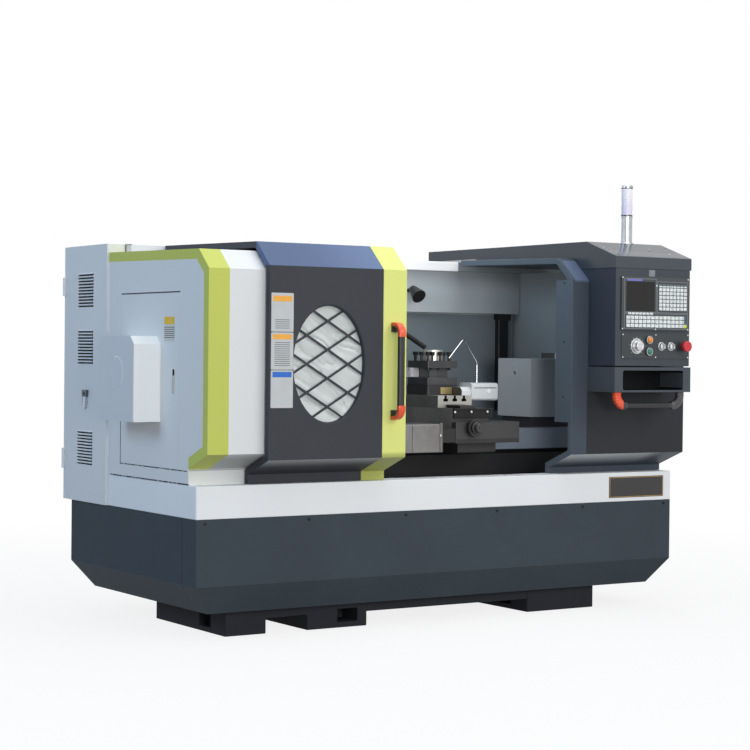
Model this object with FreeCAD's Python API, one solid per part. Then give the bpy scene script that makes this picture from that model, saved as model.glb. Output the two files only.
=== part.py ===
"""Flat-bed CNC turning lathe with two sliding doors, in millimetres.

The machine is drawn in its own frame: X runs from the headstock to the tailstock end, Y from the
operator to the back and Z up from the floor. X = 0 and Y = 0 are the front left corner of the base.
At the end every piece is moved so that the origin is the bottom centre of the whole machine.
"""
import FreeCAD, Part
import math
import os

V = FreeCAD.Vector
FIT = 0.05            # radial running clearance of shafts and sleeves
SLIDE = 0.3           # clearance under and beside sliding parts

# ---- base, tray and feet ---------------------------------------------------------------------
base_length = 2400
base_depth = 1160
foot_height = 98
belly_z = 211         # the base tapers in below this height
taper_x = 86
taper_y = 65
base_top = 471
base_edge_r = 8
tray_top = 600
tray_depth = 860
tray_floor = 20
tray_front_rim = 110  # wide enough to carry both door rails
tray_side_rim = 120
tray_back_rim = 50

foot_front_y = 89
foot_back_y = 691
left_foot_x0 = 178
left_foot_x1 = 840
left_notch_x0 = 363
left_notch_x1 = 553
notch_height = 62
right_foot_x0 = 1664
right_foot_x1 = 2032
jack_window_w = 96    # pry-bar windows in the feet
jack_window_h = 54
jack_window_d = 120

# ---- bed and headstock -----------------------------------------------------------------------
cover_length = 880    # the left end cover, which the headstock fills
axis_y = 470          # spindle axis
axis_z = 1030
way_top = 790
way_width = 90
bed_half_width = 170
bed_x0 = 300
bed_end_gap = 6       # between the bed and the end of the pan
rail_depth = 93
web_inset = 40
gullet_depth = 45

headstock_x1 = cover_length - 30
headstock_top = 1165
headstock_round = 40
flange_gap = 12
nose_x = cover_length + flange_gap    # face of the spindle flange
spindle_r = 50
spindle_bore_r = 26
spindle_tail_x = 40
flange_r = 80
flange_t = 18
chuck_r = 100
chuck_t = 92
jaw_w = 30
jaw_t = 38
jaw_slot_depth = 18
jaw_in_r = 42
jaw_step_r = 66
jaw_out_r = 92
guard_w = 120         # belt guard on the headstock's left end
motor_r = 66
motor_y = 716
motor_z = 694
motor_x0 = bed_x0 + 4
motor_l = 316
motor_stand_w = 26    # half width of the motor's stand
motor_stand_inset = 30
terminal_w = 60
terminal_h = 30
belt_clear = 45       # belt guard's top pulley beyond the bearing flange

# ---- enclosure profile, shared by the doors and the end cover ----------------------------------
sill_y = 30
knee_z = 638
front_y = -125
front_low_z = 700
shoulder_z = 1450
ridge_y = -20
ridge_z = 1546
roof_back_y = 765
roof_back_z = 1560
door_skin = 26
cover_inset = 37      # the end cover lies this far inside the left door's outer skin
cover_skin = 4
cover_back_y = 793
passage_z = 835       # the bed and screw cover pass below this edge of the cover's inner wall

panel_y0 = 150        # belt access panel in the left end
panel_y1 = 670
panel_z0 = 655
panel_z1 = 1346
panel_gap = 0.8
panel_slot_y = 202
panel_slot_z = 998
panel_slot_l = 98
panel_slot_w = 20
box_depth = 118       # cover over the rear end of the spindle
box_y0 = 312
box_y1 = 620
box_z0 = 836
box_z1 = 1175
box_chamfer = 32
box_skin = 3
knockout_r = 65
knockout_line = 3

# ---- electrical cabinet ------------------------------------------------------------------------
cabinet_x0 = -10
cabinet_x1 = 700
cabinet_y1 = 1220
cabinet_top = 1560
cabinet_skin = 4
cabinet_door_t = 4
cabinet_door_gap = 0.5
cabinet_frame = 20    # width of the frame that the cabinet's door closes on
vent_y0 = 926
vent_y1 = 1080
vent_at = (0.144, 0.537, 0.758)    # heights of vents and latch up the cabinet
latch_at = 0.417
vent_pitch = 13.2
vent_slats = 11
vent_web = 2.6        # height of the metal left between two slots
slat_t = 1.6
slat_drop = 4
slat_out = 4.5
latch_y = 989
latch_w = 46
latch_h = 78
latch_t = 12
cam_t = 6
cam_w = 18
cam_l = 42

# ---- rear guard --------------------------------------------------------------------------------
guard_wall_y = 840
guard_panel_y = 780
guard_step_z = 1306
guard_skin = 4
header_z0 = 1498
header_z1 = 1541
header_t = 12
end_wall_x = 2134
tail_clear = 26
riser_x = 2060
riser_w = 58
riser_d = 30
riser_z0 = 850
lamp_x = 1492
lamp_z = 1404
lamp_arm_r = 9
lamp_reach = 38
lamp_mouth_r = 34
lamp_length = 66
lamp_tilt = -55

# ---- doors -------------------------------------------------------------------------------------
left_door_w = 522
left_edge_w = 112
left_door_gap = 3     # the door stops this far short of the cover's right end
left_door_end = cover_length - left_door_gap
left_door_x1 = left_door_end - left_edge_w
left_door_x0 = left_door_x1 - left_door_w
window_shift = 13     # the window sits this far right of the panel's middle
window_x = left_door_x1 - left_door_w / 2 + window_shift
window_z = 1072
window_rx = 163
window_rz = 228
window_sides = 44
window_edge = 5
pane_t = 5
pane_lap = 14
bar_w = 8
bar_t = 6
bar_pitch = 112       # height between parallel bars
bar_slope = 0.59
handle_inset = 60     # from the door's right end to the middle of its handle
handle_x = left_door_end - handle_inset
handle_z0 = 854
handle_z1 = 1237
handle_reach = 62
handle_w = 26
handle_t = 20
handle_corner = 30
cap_leg = 52
cap_skin = 3

right_door_w = 637
right_door_end = base_length
right_door_x0 = right_door_end - right_door_w
right_shift_y = 47    # the right door runs on the inner rail
right_drop = 11
right_roof_back_y = 750
frame_back_y = 40     # depth of the right door's upright frame
frame_z0 = 826
frame_t = 6

# ---- control box -------------------------------------------------------------------------------
ctrl_w = 418
ctrl_x0 = right_door_x0 + 87
ctrl_x1 = ctrl_x0 + ctrl_w
ctrl_front_y = -258
ctrl_z0 = 1072
ctrl_z1 = 1487
hood_x0 = ctrl_x0 - 2
hood_x1 = ctrl_x1 + 8
hood_lip_z = 1538
hood_ridge_y = -60
hood_top = 1606
hood_back_y = 1139
hood_floor_z = 1557
pocket_x1 = ctrl_x1 + 10
pocket_z0 = 960
pocket_z1 = 1067
pocket_wall = 44
pocket_hole_z0 = 969
pocket_hole_z1 = 1053
pocket_depth = 150
pocket_r = 10
unit_x0 = ctrl_x0 + 26
unit_x1 = ctrl_x1 - 14
unit_z0 = 1225
unit_z1 = 1453
unit_t = 8
unit_r = 8
screen_x0 = unit_x0 + 25
screen_x1 = screen_x0 + 158
screen_z0 = 1306
screen_z1 = 1432
screen_recess = 3
key_t = 2
key_gap = 3
plate_x0 = ctrl_x0 + 32
plate_x1 = ctrl_x1 - 6
plate_z0 = 1104
plate_z1 = 1212
plate_t = 3
knob_x = plate_x0 + 84
knob_z = 1157
knob_r = 26
knob_t = 24
push_x = knob_x + 67
push_r = 13
push_bezel_t = 8
collar_wall = 4
push_travel = 4
orange_z = 1184
green_z = 1134
switch_xs = (push_x + 71, push_x + 125)
switch_r = 13
estop_x = plate_x1 - 38
estop_z = 1158
estop_r = 23
estop_reach = 38
estop_neck_r = 15
estop_head_t = 16
estop_travel = 5
shaft_r = 7
bow_x0 = ctrl_x0 + 8
bow_x1 = ctrl_x1 - 18
bow_drop = 76
bow_t = 26
tower_x = ctrl_x0 + 250
tower_y = -28
tower_top = 1863
tower_r = 27
tower_tube_z = 1718
tower_cap_h = 12

# ---- carriage ----------------------------------------------------------------------------------
saddle_x0 = 1262
saddle_x1 = 1597
bridge_x1 = 1455
saddle_y0 = 69
saddle_y1 = 700
bridge_y0 = 97
apron_z0 = 739
wing_top = 828
bridge_top = 885
apron_gap = 5         # between the apron and the bed's front face
rib_w = 92
rib_h = 13
rib_lean = 8
nut_x0 = 1300
nut_x1 = 1500
nut_z0 = 694
cap_r = 39
cap_reach = 26
cap_depth = 30
sleeve_x0 = 1005
sleeve_x1 = 1197
sleeve_z0 = 703
sleeve_z1 = 822
sleeve_depth = 175

slide_x1 = 1440
slide_y0 = 205
slide_y1 = 640
slide_top = 937
tslot_count = 3
tslot_pitch = 48
tslot_neck_w = 12
tslot_neck_h = 14
tslot_head_w = 24
tslot_head_h = 11
wiper_h = 40
wiper_t = 10

post_side = 155       # four-way tool post
post_y0 = 300
post_base_top = 980
wire_box_w = 70       # terminal cover behind the tool post's base
wire_box_l = 60
post_slot_z0 = 1013
post_slot_z1 = 1054
post_top = 1085
post_slot_depth = 30
post_cap_r = 45
post_cap_top = 1132
clamp_r = 5
clamp_clear = 0.3
clamp_top = 1124
clamp_head = 15
clamp_head_h = 16
clamp_inset = 19
clamp_pitch = 46

switch_box_x0 = 1447
switch_box_x1 = 1590
switch_box_y0 = 215
switch_box_y1 = 312
switch_box_z0 = 914
switch_box_z1 = 991
switch_foot_x0 = 1400
hose_r = 11
pipe_r = 3.5
# points of the lines, from the tool post's centre on the slide
pipe_route = ((156, -115.5, 54), (156, -115.5, 145), (41, -177.5, 245), (-61, -212.5, 159))
hose_route = ((-61, -32.5, 205), (-136, 67.5, 285), (-61, 240.5, 261), (-61, 240.5, 0))

# ---- tailstock ---------------------------------------------------------------------------------
tail_x0 = 1868
tail_x1 = 2190
tail_half = 122
tail_top = 1098
tail_foot_top = 835
tail_foot_inset = 14
quill_r = 32
quill_l = 280
quill_taper_r = 11
quill_taper_l = 60
quill_end_gap = 5
wheel_shaft_r = 10
wheel_r = 64
wheel_rim_r = 9
wheel_hub_r = 20
wheel_grip_l = 62
wheel_gap = 22

pieces = {}


# ---- drawing helpers ---------------------------------------------------------------------------
def block(x0, x1, y0, y1, z0, z1):
    return Part.makeBox(x1 - x0, y1 - y0, z1 - z0, V(x0, y0, z0))


def prism(points, direction):
    """Solid over a closed polygon of vectors, run along a vector."""
    face = Part.Face(Part.makePolygon(points + [points[0]]))
    return face.extrude(direction)


def along_x(outline, x0, x1):
    """Solid with a (y, z) outline between two X planes."""
    return prism([V(x0, y, z) for y, z in outline], V(x1 - x0, 0, 0))


def along_y(outline, y0, y1):
    """Solid with an (x, z) outline between two Y planes."""
    return prism([V(x, y0, z) for x, z in outline], V(0, y1 - y0, 0))


def rod_x(r, x0, x1, y, z):
    return Part.makeCylinder(r, x1 - x0, V(x0, y, z), V(1, 0, 0))


def rod_y(r, y0, y1, x, z):
    return Part.makeCylinder(r, y1 - y0, V(x, y0, z), V(0, 1, 0))


def ring_points(radius, z, sides):
    points = []
    for i in range(sides):
        turn = 2 * math.pi * (i + 0.5) / sides
        points.append(V(radius * math.cos(turn), radius * math.sin(turn), z))
    return points


def sided(radius, length, foot, axis, sides=20):
    """Straight piece with flat sides in place of a round wall, to keep its faces few."""
    solid = prism(ring_points(radius, 0, sides), V(0, 0, length))
    solid.Placement = FreeCAD.Placement(foot, FreeCAD.Rotation(V(0, 0, 1), axis))
    return solid


def flared(r0, r1, length, sides):
    """Closed housing with flat sides, from radius r0 at the foot to r1 at the top."""
    low = ring_points(r0, 0, sides)
    high = ring_points(r1, length, sides)
    faces = [Part.Face(Part.makePolygon(ring + [ring[0]])) for ring in (low, high)]
    for i in range(sides):
        j = (i + 1) % sides
        corners = [low[i], low[j], high[j], high[i]]
        faces.append(Part.Face(Part.makePolygon(corners + [low[i]])))
    return Part.makeSolid(Part.makeShell(faces))


def join(first, *others):
    return first.multiFuse(list(others)).removeSplitter()


def lathe_x(outline, y, z):
    """Turned piece about the X line through (y, z), from (radius, x) points."""
    points = [V(x, y, z + r) for r, x in outline]
    face = Part.Face(Part.makePolygon(points + [points[0]]))
    return face.revolve(V(0, y, z), V(1, 0, 0), 360)


def edges_along(shape, axis, keep=lambda centre: True):
    """Straight edges parallel to an axis whose centre passes the test."""
    found = []
    for edge in shape.Edges:
        ends = [vertex.Point for vertex in edge.Vertexes]
        if len(ends) == 2 and isinstance(edge.Curve, (Part.Line, Part.LineSegment)):
            span = ends[1] - ends[0]
            if abs(span.dot(axis)) > 0.999 * span.Length and keep(edge.CenterOfMass):
                found.append(edge)
    return found


def softened(shape, radius, axis, keep=lambda centre: True):
    return shape.makeFillet(radius, edges_along(shape, axis, keep))


def offset_path(path, distance):
    """Parallel open path with mitred corners, to the right of the way it runs."""
    normals = []
    for (y0, z0), (y1, z1) in zip(path, path[1:]):
        length = math.hypot(y1 - y0, z1 - z0)
        normals.append(((z1 - z0) / length, (y0 - y1) / length))
    result = []
    for i, (y, z) in enumerate(path):
        before = normals[max(i - 1, 0)]
        after = normals[min(i, len(normals) - 1)]
        scale = distance / (1 + before[0] * after[0] + before[1] * after[1])
        result.append((y + scale * (before[0] + after[0]), z + scale * (before[1] + after[1])))
    return result


def band(path, thickness, x0, x1):
    """Sheet of one thickness along an open (y, z) path, from an upright foot to a square end."""
    inner = offset_path(path, thickness)
    inner[0] = (inner[0][0], path[0][1])
    inner[-1] = (path[-1][0], inner[-1][1])
    return along_x(path + inner[::-1], x0, x1)


def bent_tube(points, radius, bend, sides):
    """Tube with a many-sided section through straight runs joined by tangent arcs."""
    edges = []
    start = points[0]
    for before, corner, after in zip(points, points[1:], points[2:]):
        into = (corner - before).normalize()
        out = (after - corner).normalize()
        half = into.getAngle(out) / 2
        reach = bend * math.tan(half)
        arc_in = corner - into * reach
        arc_out = corner + out * reach
        middle = corner + (out - into).normalize() * (bend / math.cos(half) - bend)
        edges.append(Part.makeLine(start, arc_in))
        edges.append(Part.Arc(arc_in, middle, arc_out).toShape())
        start = arc_out
    edges.append(Part.makeLine(start, points[-1]))
    spine = Part.Wire(edges)
    axis = (points[1] - points[0]).normalize()
    across = axis.cross(V(1, 0, 0)).normalize()
    up = axis.cross(across)
    corners = []
    for i in range(sides):
        turn = 2 * math.pi * i / sides
        corners.append(
            points[0] + across * (radius * math.cos(turn)) + up * (radius * math.sin(turn)))
    ring = Part.makePolygon(corners + [corners[0]])
    return spine.makePipeShell([ring], True, False)


# ---- profiles ----------------------------------------------------------------------------------
def left_profile():
    return [
        (sill_y, tray_top + SLIDE),
        (sill_y, knee_z),
        (front_y, front_low_z),
        (front_y, shoulder_z),
        (ridge_y, ridge_z),
        (roof_back_y, roof_back_z),
    ]


def right_profile():
    path = [(y + right_shift_y, z - right_drop) for y, z in left_profile()]
    path[0] = (path[0][0], tray_top + SLIDE)
    path[-1] = (right_roof_back_y, roof_back_z - right_drop)
    return path


def cover_profile():
    path = offset_path(left_profile(), cover_inset)
    path[0] = (path[0][0], tray_top)
    slope = (roof_back_z - ridge_z) / (roof_back_y - ridge_y)
    path[-1] = (cover_back_y, path[-2][1] + slope * (cover_back_y - path[-2][0]))
    return path


def slope_y(path, z):
    """Y of the upper chamfer of a profile at a height."""
    (y0, z0), (y1, z1) = path[3], path[4]
    return y0 + (z - z0) * (y1 - y0) / (z1 - z0)


# ---- base --------------------------------------------------------------------------------------
def foot(x0, x1):
    body = block(x0, x1, foot_front_y, foot_back_y, 0, foot_height)
    body = softened(body, base_edge_r, V(0, 0, 1))
    side = foot_front_y + jack_window_d
    z0 = (foot_height - jack_window_h) / 2
    pry = block(x0 - 1, x0 + jack_window_d / 3, side, side + jack_window_w, z0, z0 + jack_window_h)
    return body.cut(pry)


def build_feet():
    left = foot(left_foot_x0, left_foot_x1)
    notch = block(left_notch_x0, left_notch_x1, 0, base_depth, -1, notch_height)
    mid = (left_notch_x1 + left_foot_x1) / 2
    z0 = (foot_height - jack_window_h) / 2
    window = block(
        mid, mid + jack_window_w, 0, foot_front_y + jack_window_d, z0, z0 + jack_window_h)
    pieces["foot_left"] = left.cut([notch, window])
    pieces["foot_right"] = foot(right_foot_x0, right_foot_x1)


def build_base():
    low = Part.makePolygon(corner_loop(taper_x, taper_y, foot_height))
    high = Part.makePolygon(corner_loop(0, 0, belly_z))
    taper = Part.makeLoft([low, high], True, True)
    upright = block(0, base_length, 0, base_depth, belly_z, base_top)
    base = join(taper, upright)
    pieces["base_skirt"] = softened(base, base_edge_r, V(0, 0, 1))


def corner_loop(inset_x, inset_y, z):
    x1 = base_length - inset_x
    y1 = base_depth - inset_y
    corners = [V(inset_x, inset_y, z), V(x1, inset_y, z), V(x1, y1, z), V(inset_x, y1, z)]
    return corners + [corners[0]]


def build_tray():
    """White tray: pan for chips and coolant, with a corner left free for the cabinet."""
    tray = block(0, base_length, 0, tray_depth, base_top, tray_top)
    corner = block(-1, cabinet_x1, cover_back_y, tray_depth + 1, base_top - 1, tray_top + 1)
    pan = block(
        tray_side_rim, base_length - tray_side_rim, tray_front_rim, tray_depth - tray_back_rim,
        base_top + tray_floor, tray_top + 1)
    behind = block(
        tray_side_rim - 1, cabinet_x1 + tray_back_rim, cover_back_y - tray_back_rim,
        tray_depth, base_top + tray_floor, tray_top + 1)
    tray = tray.cut(corner).cut(pan.cut(behind))
    tray = softened(tray, base_edge_r, V(0, 0, 1), lambda c: c.y < 1)
    pieces["chip_tray"] = tray


def bed_outline():
    y0 = axis_y - bed_half_width
    y1 = axis_y + bed_half_width
    floor = base_top + tray_floor
    rail = way_top - rail_depth
    return [
        (y0, floor), (y0, floor + web_inset), (y0 + web_inset, floor + web_inset * 1.5),
        (y0 + web_inset, rail - web_inset / 2), (y0, rail), (y0, way_top),
        (y0 + way_width, way_top), (y0 + way_width, way_top - gullet_depth),
        (y1 - way_width, way_top - gullet_depth), (y1 - way_width, way_top),
        (y1, way_top), (y1, rail), (y1 - web_inset, rail - web_inset / 2),
        (y1 - web_inset, floor + web_inset * 1.5), (y1, floor + web_inset), (y1, floor),
    ]


def build_bed():
    bed_x1 = base_length - tray_side_rim - bed_end_gap
    pieces["bed"] = along_x(bed_outline(), bed_x0, bed_x1)


# ---- headstock and drive -----------------------------------------------------------------------
def build_headstock():
    y0 = axis_y - bed_half_width
    y1 = axis_y + bed_half_width
    body = block(bed_x0, headstock_x1, y0, y1, way_top, headstock_top)
    body = softened(body, headstock_round, V(1, 0, 0), lambda c: c.z > way_top + 1)
    bearing = rod_x(
        flange_r, headstock_x1, nose_x - flange_t - flange_gap, axis_y, axis_z)
    body = join(body, bearing)
    bore = rod_x(spindle_r + FIT, bed_x0 - 1, nose_x, axis_y, axis_z)
    pieces["headstock"] = body.cut(bore)


def build_drive():
    """Motor on its stand, and the closed guard over pulleys and belts."""
    low = base_top + tray_floor
    motor_x1 = motor_x0 + motor_l
    body = sided(motor_r, motor_l, V(motor_x0, motor_y, motor_z), V(1, 0, 0), 24)
    stand = block(
        motor_x0 + motor_stand_inset, motor_x1 - motor_stand_inset,
        motor_y - motor_stand_w, motor_y + motor_stand_w, low, motor_z)
    middle = (motor_x0 + motor_x1) / 2
    terminal = block(
        middle - terminal_w, middle + terminal_w, motor_y - terminal_w / 2,
        motor_y + terminal_w / 2, motor_z, motor_z + motor_r + terminal_h)
    pieces["drive_motor"] = join(body, stand, terminal)
    top = V(0, axis_y, axis_z)
    low_centre = V(0, motor_y, motor_z)
    r0 = flange_r + belt_clear
    r1 = motor_r
    guard_x0 = bed_x0 - guard_w
    guard = belt_shape(top, r0, low_centre, r1, guard_x0, bed_x0)
    tail = rod_x(spindle_r + SLIDE, guard_x0 - 1, bed_x0 + 1, axis_y, axis_z)
    pieces["belt_guard"] = guard.cut(tail)


def belt_shape(c0, r0, c1, r1, x0, x1):
    """Outline round two pulleys: two discs and the tangent strip between them."""
    line = c1 - c0
    lean = math.asin((r0 - r1) / line.Length)
    base = math.atan2(line.z, line.y)
    corners = []
    for centre, radius, sign in ((c0, r0, 1), (c1, r1, 1), (c1, r1, -1), (c0, r0, -1)):
        turn = base + sign * (math.pi / 2 - lean)
        corners.append((centre.y + radius * math.cos(turn), centre.z + radius * math.sin(turn)))
    strip = along_x(corners, x0, x1)
    big = rod_x(r0, x0, x1, c0.y, c0.z)
    small = rod_x(r1, x0, x1, c1.y, c1.z)
    return join(big, small, strip)


def build_spindle():
    outline = [
        (spindle_bore_r, spindle_tail_x), (spindle_r, spindle_tail_x),
        (spindle_r, nose_x - flange_t), (flange_r, nose_x - flange_t),
        (flange_r, nose_x), (spindle_bore_r, nose_x),
    ]
    pieces["spindle"] = lathe_x(outline, axis_y, axis_z)
    x1 = nose_x + chuck_t
    chuck = [
        (spindle_bore_r, nose_x), (chuck_r, nose_x), (chuck_r, x1), (spindle_bore_r, x1)]
    body = lathe_x(chuck, axis_y, axis_z)
    for turn in jaw_turns():
        slot = block(
            x1 - jaw_slot_depth, x1 + 1, axis_y - jaw_w / 2, axis_y + jaw_w / 2,
            axis_z + spindle_bore_r + 2, axis_z + chuck_r + 1)
        slot.rotate(V(0, axis_y, axis_z), V(1, 0, 0), turn)
        body = body.cut(slot)
        build_jaw(turn, x1)
    pieces["chuck_body"] = body


def jaw_turns():
    return (0, 120, 240)


def build_jaw(turn, x1):
    """Stepped jaw: a key in the chuck's slot and two gripping steps."""
    half = jaw_w / 2 - SLIDE
    key = block(
        x1 - jaw_slot_depth + SLIDE, x1 + jaw_t / 2, axis_y - half, axis_y + half,
        axis_z + jaw_in_r, axis_z + jaw_out_r)
    step = block(
        x1 + jaw_t / 2, x1 + jaw_t, axis_y - half, axis_y + half,
        axis_z + jaw_step_r, axis_z + jaw_out_r)
    jaw = join(key, step)
    jaw.rotate(V(0, axis_y, axis_z), V(1, 0, 0), turn)
    pieces["chuck_jaw_%d" % (turn // 120 + 1)] = jaw


# ---- left end cover ----------------------------------------------------------------------------
def build_end_cover():
    path = cover_profile()
    shell = band(path, cover_skin, 0, cover_length)
    outline = path + [(cover_back_y, tray_top)]
    left = along_x(outline, 0, cover_skin)
    opening = block(-1, cover_skin + 1, panel_y0, panel_y1, panel_z0, panel_z1)
    right = along_x(outline, cover_length - cover_skin, cover_length)
    passage = block(0, cover_length + 1, 0, cover_back_y - cover_skin, tray_top - 1, passage_z)
    throat = rod_x(flange_r + flange_gap, 0, cover_length + 1, axis_y, axis_z)
    right = right.cut([passage, throat])
    back = block(
        cabinet_x1, cover_length, cover_back_y - cover_skin, cover_back_y, tray_top, path[-1][1])
    pieces["end_cover"] = join(shell, left.cut(opening), right, back)


def build_access_panel():
    panel = block(
        0, cover_skin, panel_y0 + panel_gap, panel_y1 - panel_gap,
        panel_z0 + panel_gap, panel_z1 - panel_gap)
    z0 = panel_slot_z - panel_slot_l / 2
    slot = block(-1, cover_skin + 1, panel_slot_y - panel_slot_w / 2,
                 panel_slot_y + panel_slot_w / 2, z0, z0 + panel_slot_l)
    slot = softened(slot, panel_slot_w / 2.1, V(1, 0, 0))
    pieces["access_panel"] = panel.cut(slot)


def build_spindle_box():
    """Cover over the rear end of the spindle, open to the panel, with a marked knock-out."""
    outer = block(-box_depth, 0, box_y0, box_y1, box_z0, box_z1)
    corner = edges_along(outer, V(1, 0, 0), lambda c: c.y < box_y0 + 1 and c.z > box_z1 - 1)
    outer = outer.makeChamfer(box_chamfer, corner)
    inner = block(
        -box_depth + box_skin, 1, box_y0 + box_chamfer, box_y1 - box_skin,
        box_z0 + box_skin, box_z1 - box_chamfer)
    ring = rod_x(knockout_r, -box_depth - 1, -box_depth + 1, axis_y, axis_z)
    inside_r = knockout_r - knockout_line
    ring = ring.cut(rod_x(inside_r, -box_depth - 2, -box_depth + 2, axis_y, axis_z))
    pieces["spindle_box"] = outer.cut([inner, ring])


# ---- electrical cabinet ------------------------------------------------------------------------
def build_cabinet():
    x0 = cabinet_x0 + cabinet_door_t + cabinet_door_gap
    outer = block(x0, cabinet_x1, cover_back_y, cabinet_y1, base_top, cabinet_top)
    inner = block(
        x0 + cabinet_skin, cabinet_x1 - cabinet_skin, cover_back_y + cabinet_skin,
        cabinet_y1 - cabinet_skin, base_top + cabinet_skin, cabinet_top - cabinet_skin)
    mouth = block(
        x0 - 1, x0 + cabinet_skin + 1, cover_back_y + cabinet_frame, cabinet_y1 - cabinet_frame,
        base_top + cabinet_frame, cabinet_top - cabinet_frame)
    pieces["cabinet"] = outer.cut([inner, mouth])


def up_cabinet(share):
    return base_top + share * (cabinet_top - base_top)


def louvre(z):
    """One pressed slat that leans out over its slot."""
    outline = [
        (cabinet_x0 + cabinet_door_t, z), (cabinet_x0 + cabinet_door_t, z + slat_t),
        (cabinet_x0, z + slat_t), (cabinet_x0 - slat_out, z - slat_drop + slat_t),
        (cabinet_x0 - slat_out, z - slat_drop), (cabinet_x0, z),
    ]
    return along_y(outline, vent_y0, vent_y1)


def build_cabinet_door():
    door = block(
        cabinet_x0, cabinet_x0 + cabinet_door_t, cover_back_y + cabinet_door_gap,
        cabinet_y1, base_top + cabinet_door_gap, cabinet_top)
    slots = []
    slats = []
    for share in vent_at:
        for i in range(vent_slats):
            z = up_cabinet(share) + vent_pitch * (i + 1)
            slots.append(block(
                cabinet_x0 - 1, cabinet_x0 + cabinet_door_t + 1, vent_y0, vent_y1,
                z - vent_pitch + vent_web, z))
            slats.append(louvre(z))
    keyhole = rod_x(
        shaft_r + FIT, cabinet_x0 - 1, cabinet_x0 + cabinet_door_t + 1, latch_y,
        up_cabinet(latch_at))
    door = door.cut(slots + [keyhole])
    pieces["cabinet_door"] = join(door, *slats)


def build_cabinet_latch():
    """Quarter-turn latch: flush paddle outside, cam inside."""
    latch_z = up_cabinet(latch_at)
    top = latch_z + latch_w / 2
    outline = [
        (latch_y - latch_w / 2, top), (latch_y + latch_w / 2, top),
        (latch_y + latch_w / 4, top - latch_h), (latch_y - latch_w / 6, top - latch_h),
    ]
    face = cabinet_x0 - SLIDE
    paddle = along_x(outline, face - latch_t, face)
    cam_x = cabinet_x0 + cabinet_door_t + cabinet_door_gap + cabinet_skin + 2
    shaft = rod_x(shaft_r, face - 1, cam_x + cam_t, latch_y, latch_z)
    cam = block(
        cam_x, cam_x + cam_t, latch_y - cam_w / 2, latch_y + cam_w / 2,
        latch_z - cam_l, latch_z)
    pieces["cabinet_latch"] = join(paddle, shaft, cam)


# ---- rear guard, header and end wall -----------------------------------------------------------
def build_rear_guard():
    x0 = cover_length
    x1 = base_length - cover_skin
    shape = [
        (guard_wall_y, tray_top), (guard_wall_y, guard_step_z), (guard_panel_y, guard_step_z),
        (guard_panel_y, header_z1), (guard_panel_y + guard_skin, header_z1),
        (guard_panel_y + guard_skin, guard_step_z + guard_skin),
        (guard_wall_y + guard_skin, guard_step_z + guard_skin),
        (guard_wall_y + guard_skin, tray_top),
    ]
    pieces["rear_guard"] = along_x(shape, x0, x1)
    y0 = guard_panel_y - header_t
    header = block(x0, x1, y0, guard_panel_y, header_z0, header_z1)
    pieces["header_beam"] = softened(header, 3, V(1, 0, 0), lambda c: c.y < y0 + 1)


def build_end_wall():
    """Splash wall behind the right door, open below for the tailstock, bed and carriage."""
    path = offset_path(right_profile(), cover_inset)
    top = path[4][1]
    outline = [
        (path[2][0], passage_z), path[3], path[4], (guard_panel_y - header_t, top),
        (guard_panel_y - header_t, header_z0 - 1), (guard_panel_y, header_z0 - 1),
        (guard_panel_y, guard_step_z), (guard_wall_y, guard_step_z),
        (guard_wall_y, tray_top), (guard_wall_y - tray_back_rim / 2, tray_top),
        (guard_wall_y - tray_back_rim / 2, passage_z),
    ]
    wall = along_x(outline, end_wall_x, end_wall_x + guard_skin)
    half = tail_half + tail_clear
    hole = block(
        end_wall_x - 1, end_wall_x + guard_skin + 1, axis_y - half, axis_y + half,
        passage_z - 1, tail_top + tail_clear)
    pieces["end_wall"] = wall.cut(hole)


def build_riser():
    """Black cable duct up the rear wall, with its collar under the step."""
    y0 = guard_wall_y - riser_d
    half = riser_w / 2
    duct = block(riser_x - half, riser_x + half, y0, guard_wall_y, riser_z0, guard_step_z)
    duct = softened(duct, 5, V(0, 0, 1), lambda c: c.y < y0 + 1)
    collar = block(
        riser_x - half - 8, riser_x + half + 8, y0 - 8, guard_wall_y,
        guard_step_z - riser_d, guard_step_z)
    pieces["cable_duct"] = join(duct, collar)


def build_work_lamp():
    """Spotlight on a short arm from the guard's upper panel."""
    arm = rod_y(lamp_arm_r, guard_panel_y - lamp_reach, guard_panel_y, lamp_x, lamp_z)
    shade = flared(lamp_mouth_r, lamp_mouth_r / 2, lamp_length, 16)
    shade.translate(V(0, 0, -lamp_length * 0.8))
    shade.rotate(V(0, 0, 0), V(1, 0, 0), lamp_tilt)
    shade.translate(V(lamp_x, guard_panel_y - lamp_reach - 6, lamp_z))
    pieces["work_lamp"] = join(arm, shade)


# ---- left door ---------------------------------------------------------------------------------
def oval(rx, rz, y0, y1):
    """Window shape with many short sides, through the door's front."""
    points = []
    for i in range(window_sides):
        turn = 2 * math.pi * i / window_sides
        points.append(V(window_x + rx * math.cos(turn), y0, window_z + rz * math.sin(turn)))
    return prism(points, V(0, y1 - y0, 0))


def build_left_door():
    path = left_profile()
    door = band(path, door_skin, left_door_x0, left_door_x1)
    hole = oval(window_rx, window_rz, front_y - 1, front_y + door_skin + 1)
    lap = oval(
        window_rx + pane_lap, window_rz + pane_lap, front_y + door_skin - pane_t,
        front_y + door_skin + 1)
    door = door.cut([hole, lap])
    rim = [edge for edge in door.Edges if on_window_rim(edge)]
    pieces["door_left"] = door.makeChamfer(window_edge, rim)
    edge = band(path, door_skin, left_door_x1, left_door_end)
    pieces["door_left_edge"] = edge


def on_window_rim(edge):
    box = edge.BoundBox
    flat = box.YLength < 1 and abs(box.YMin - front_y) < 1
    across = (box.Center.x - window_x) / window_rx
    up = (box.Center.z - window_z) / window_rz
    return flat and across ** 2 + up ** 2 < 1.05


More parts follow.
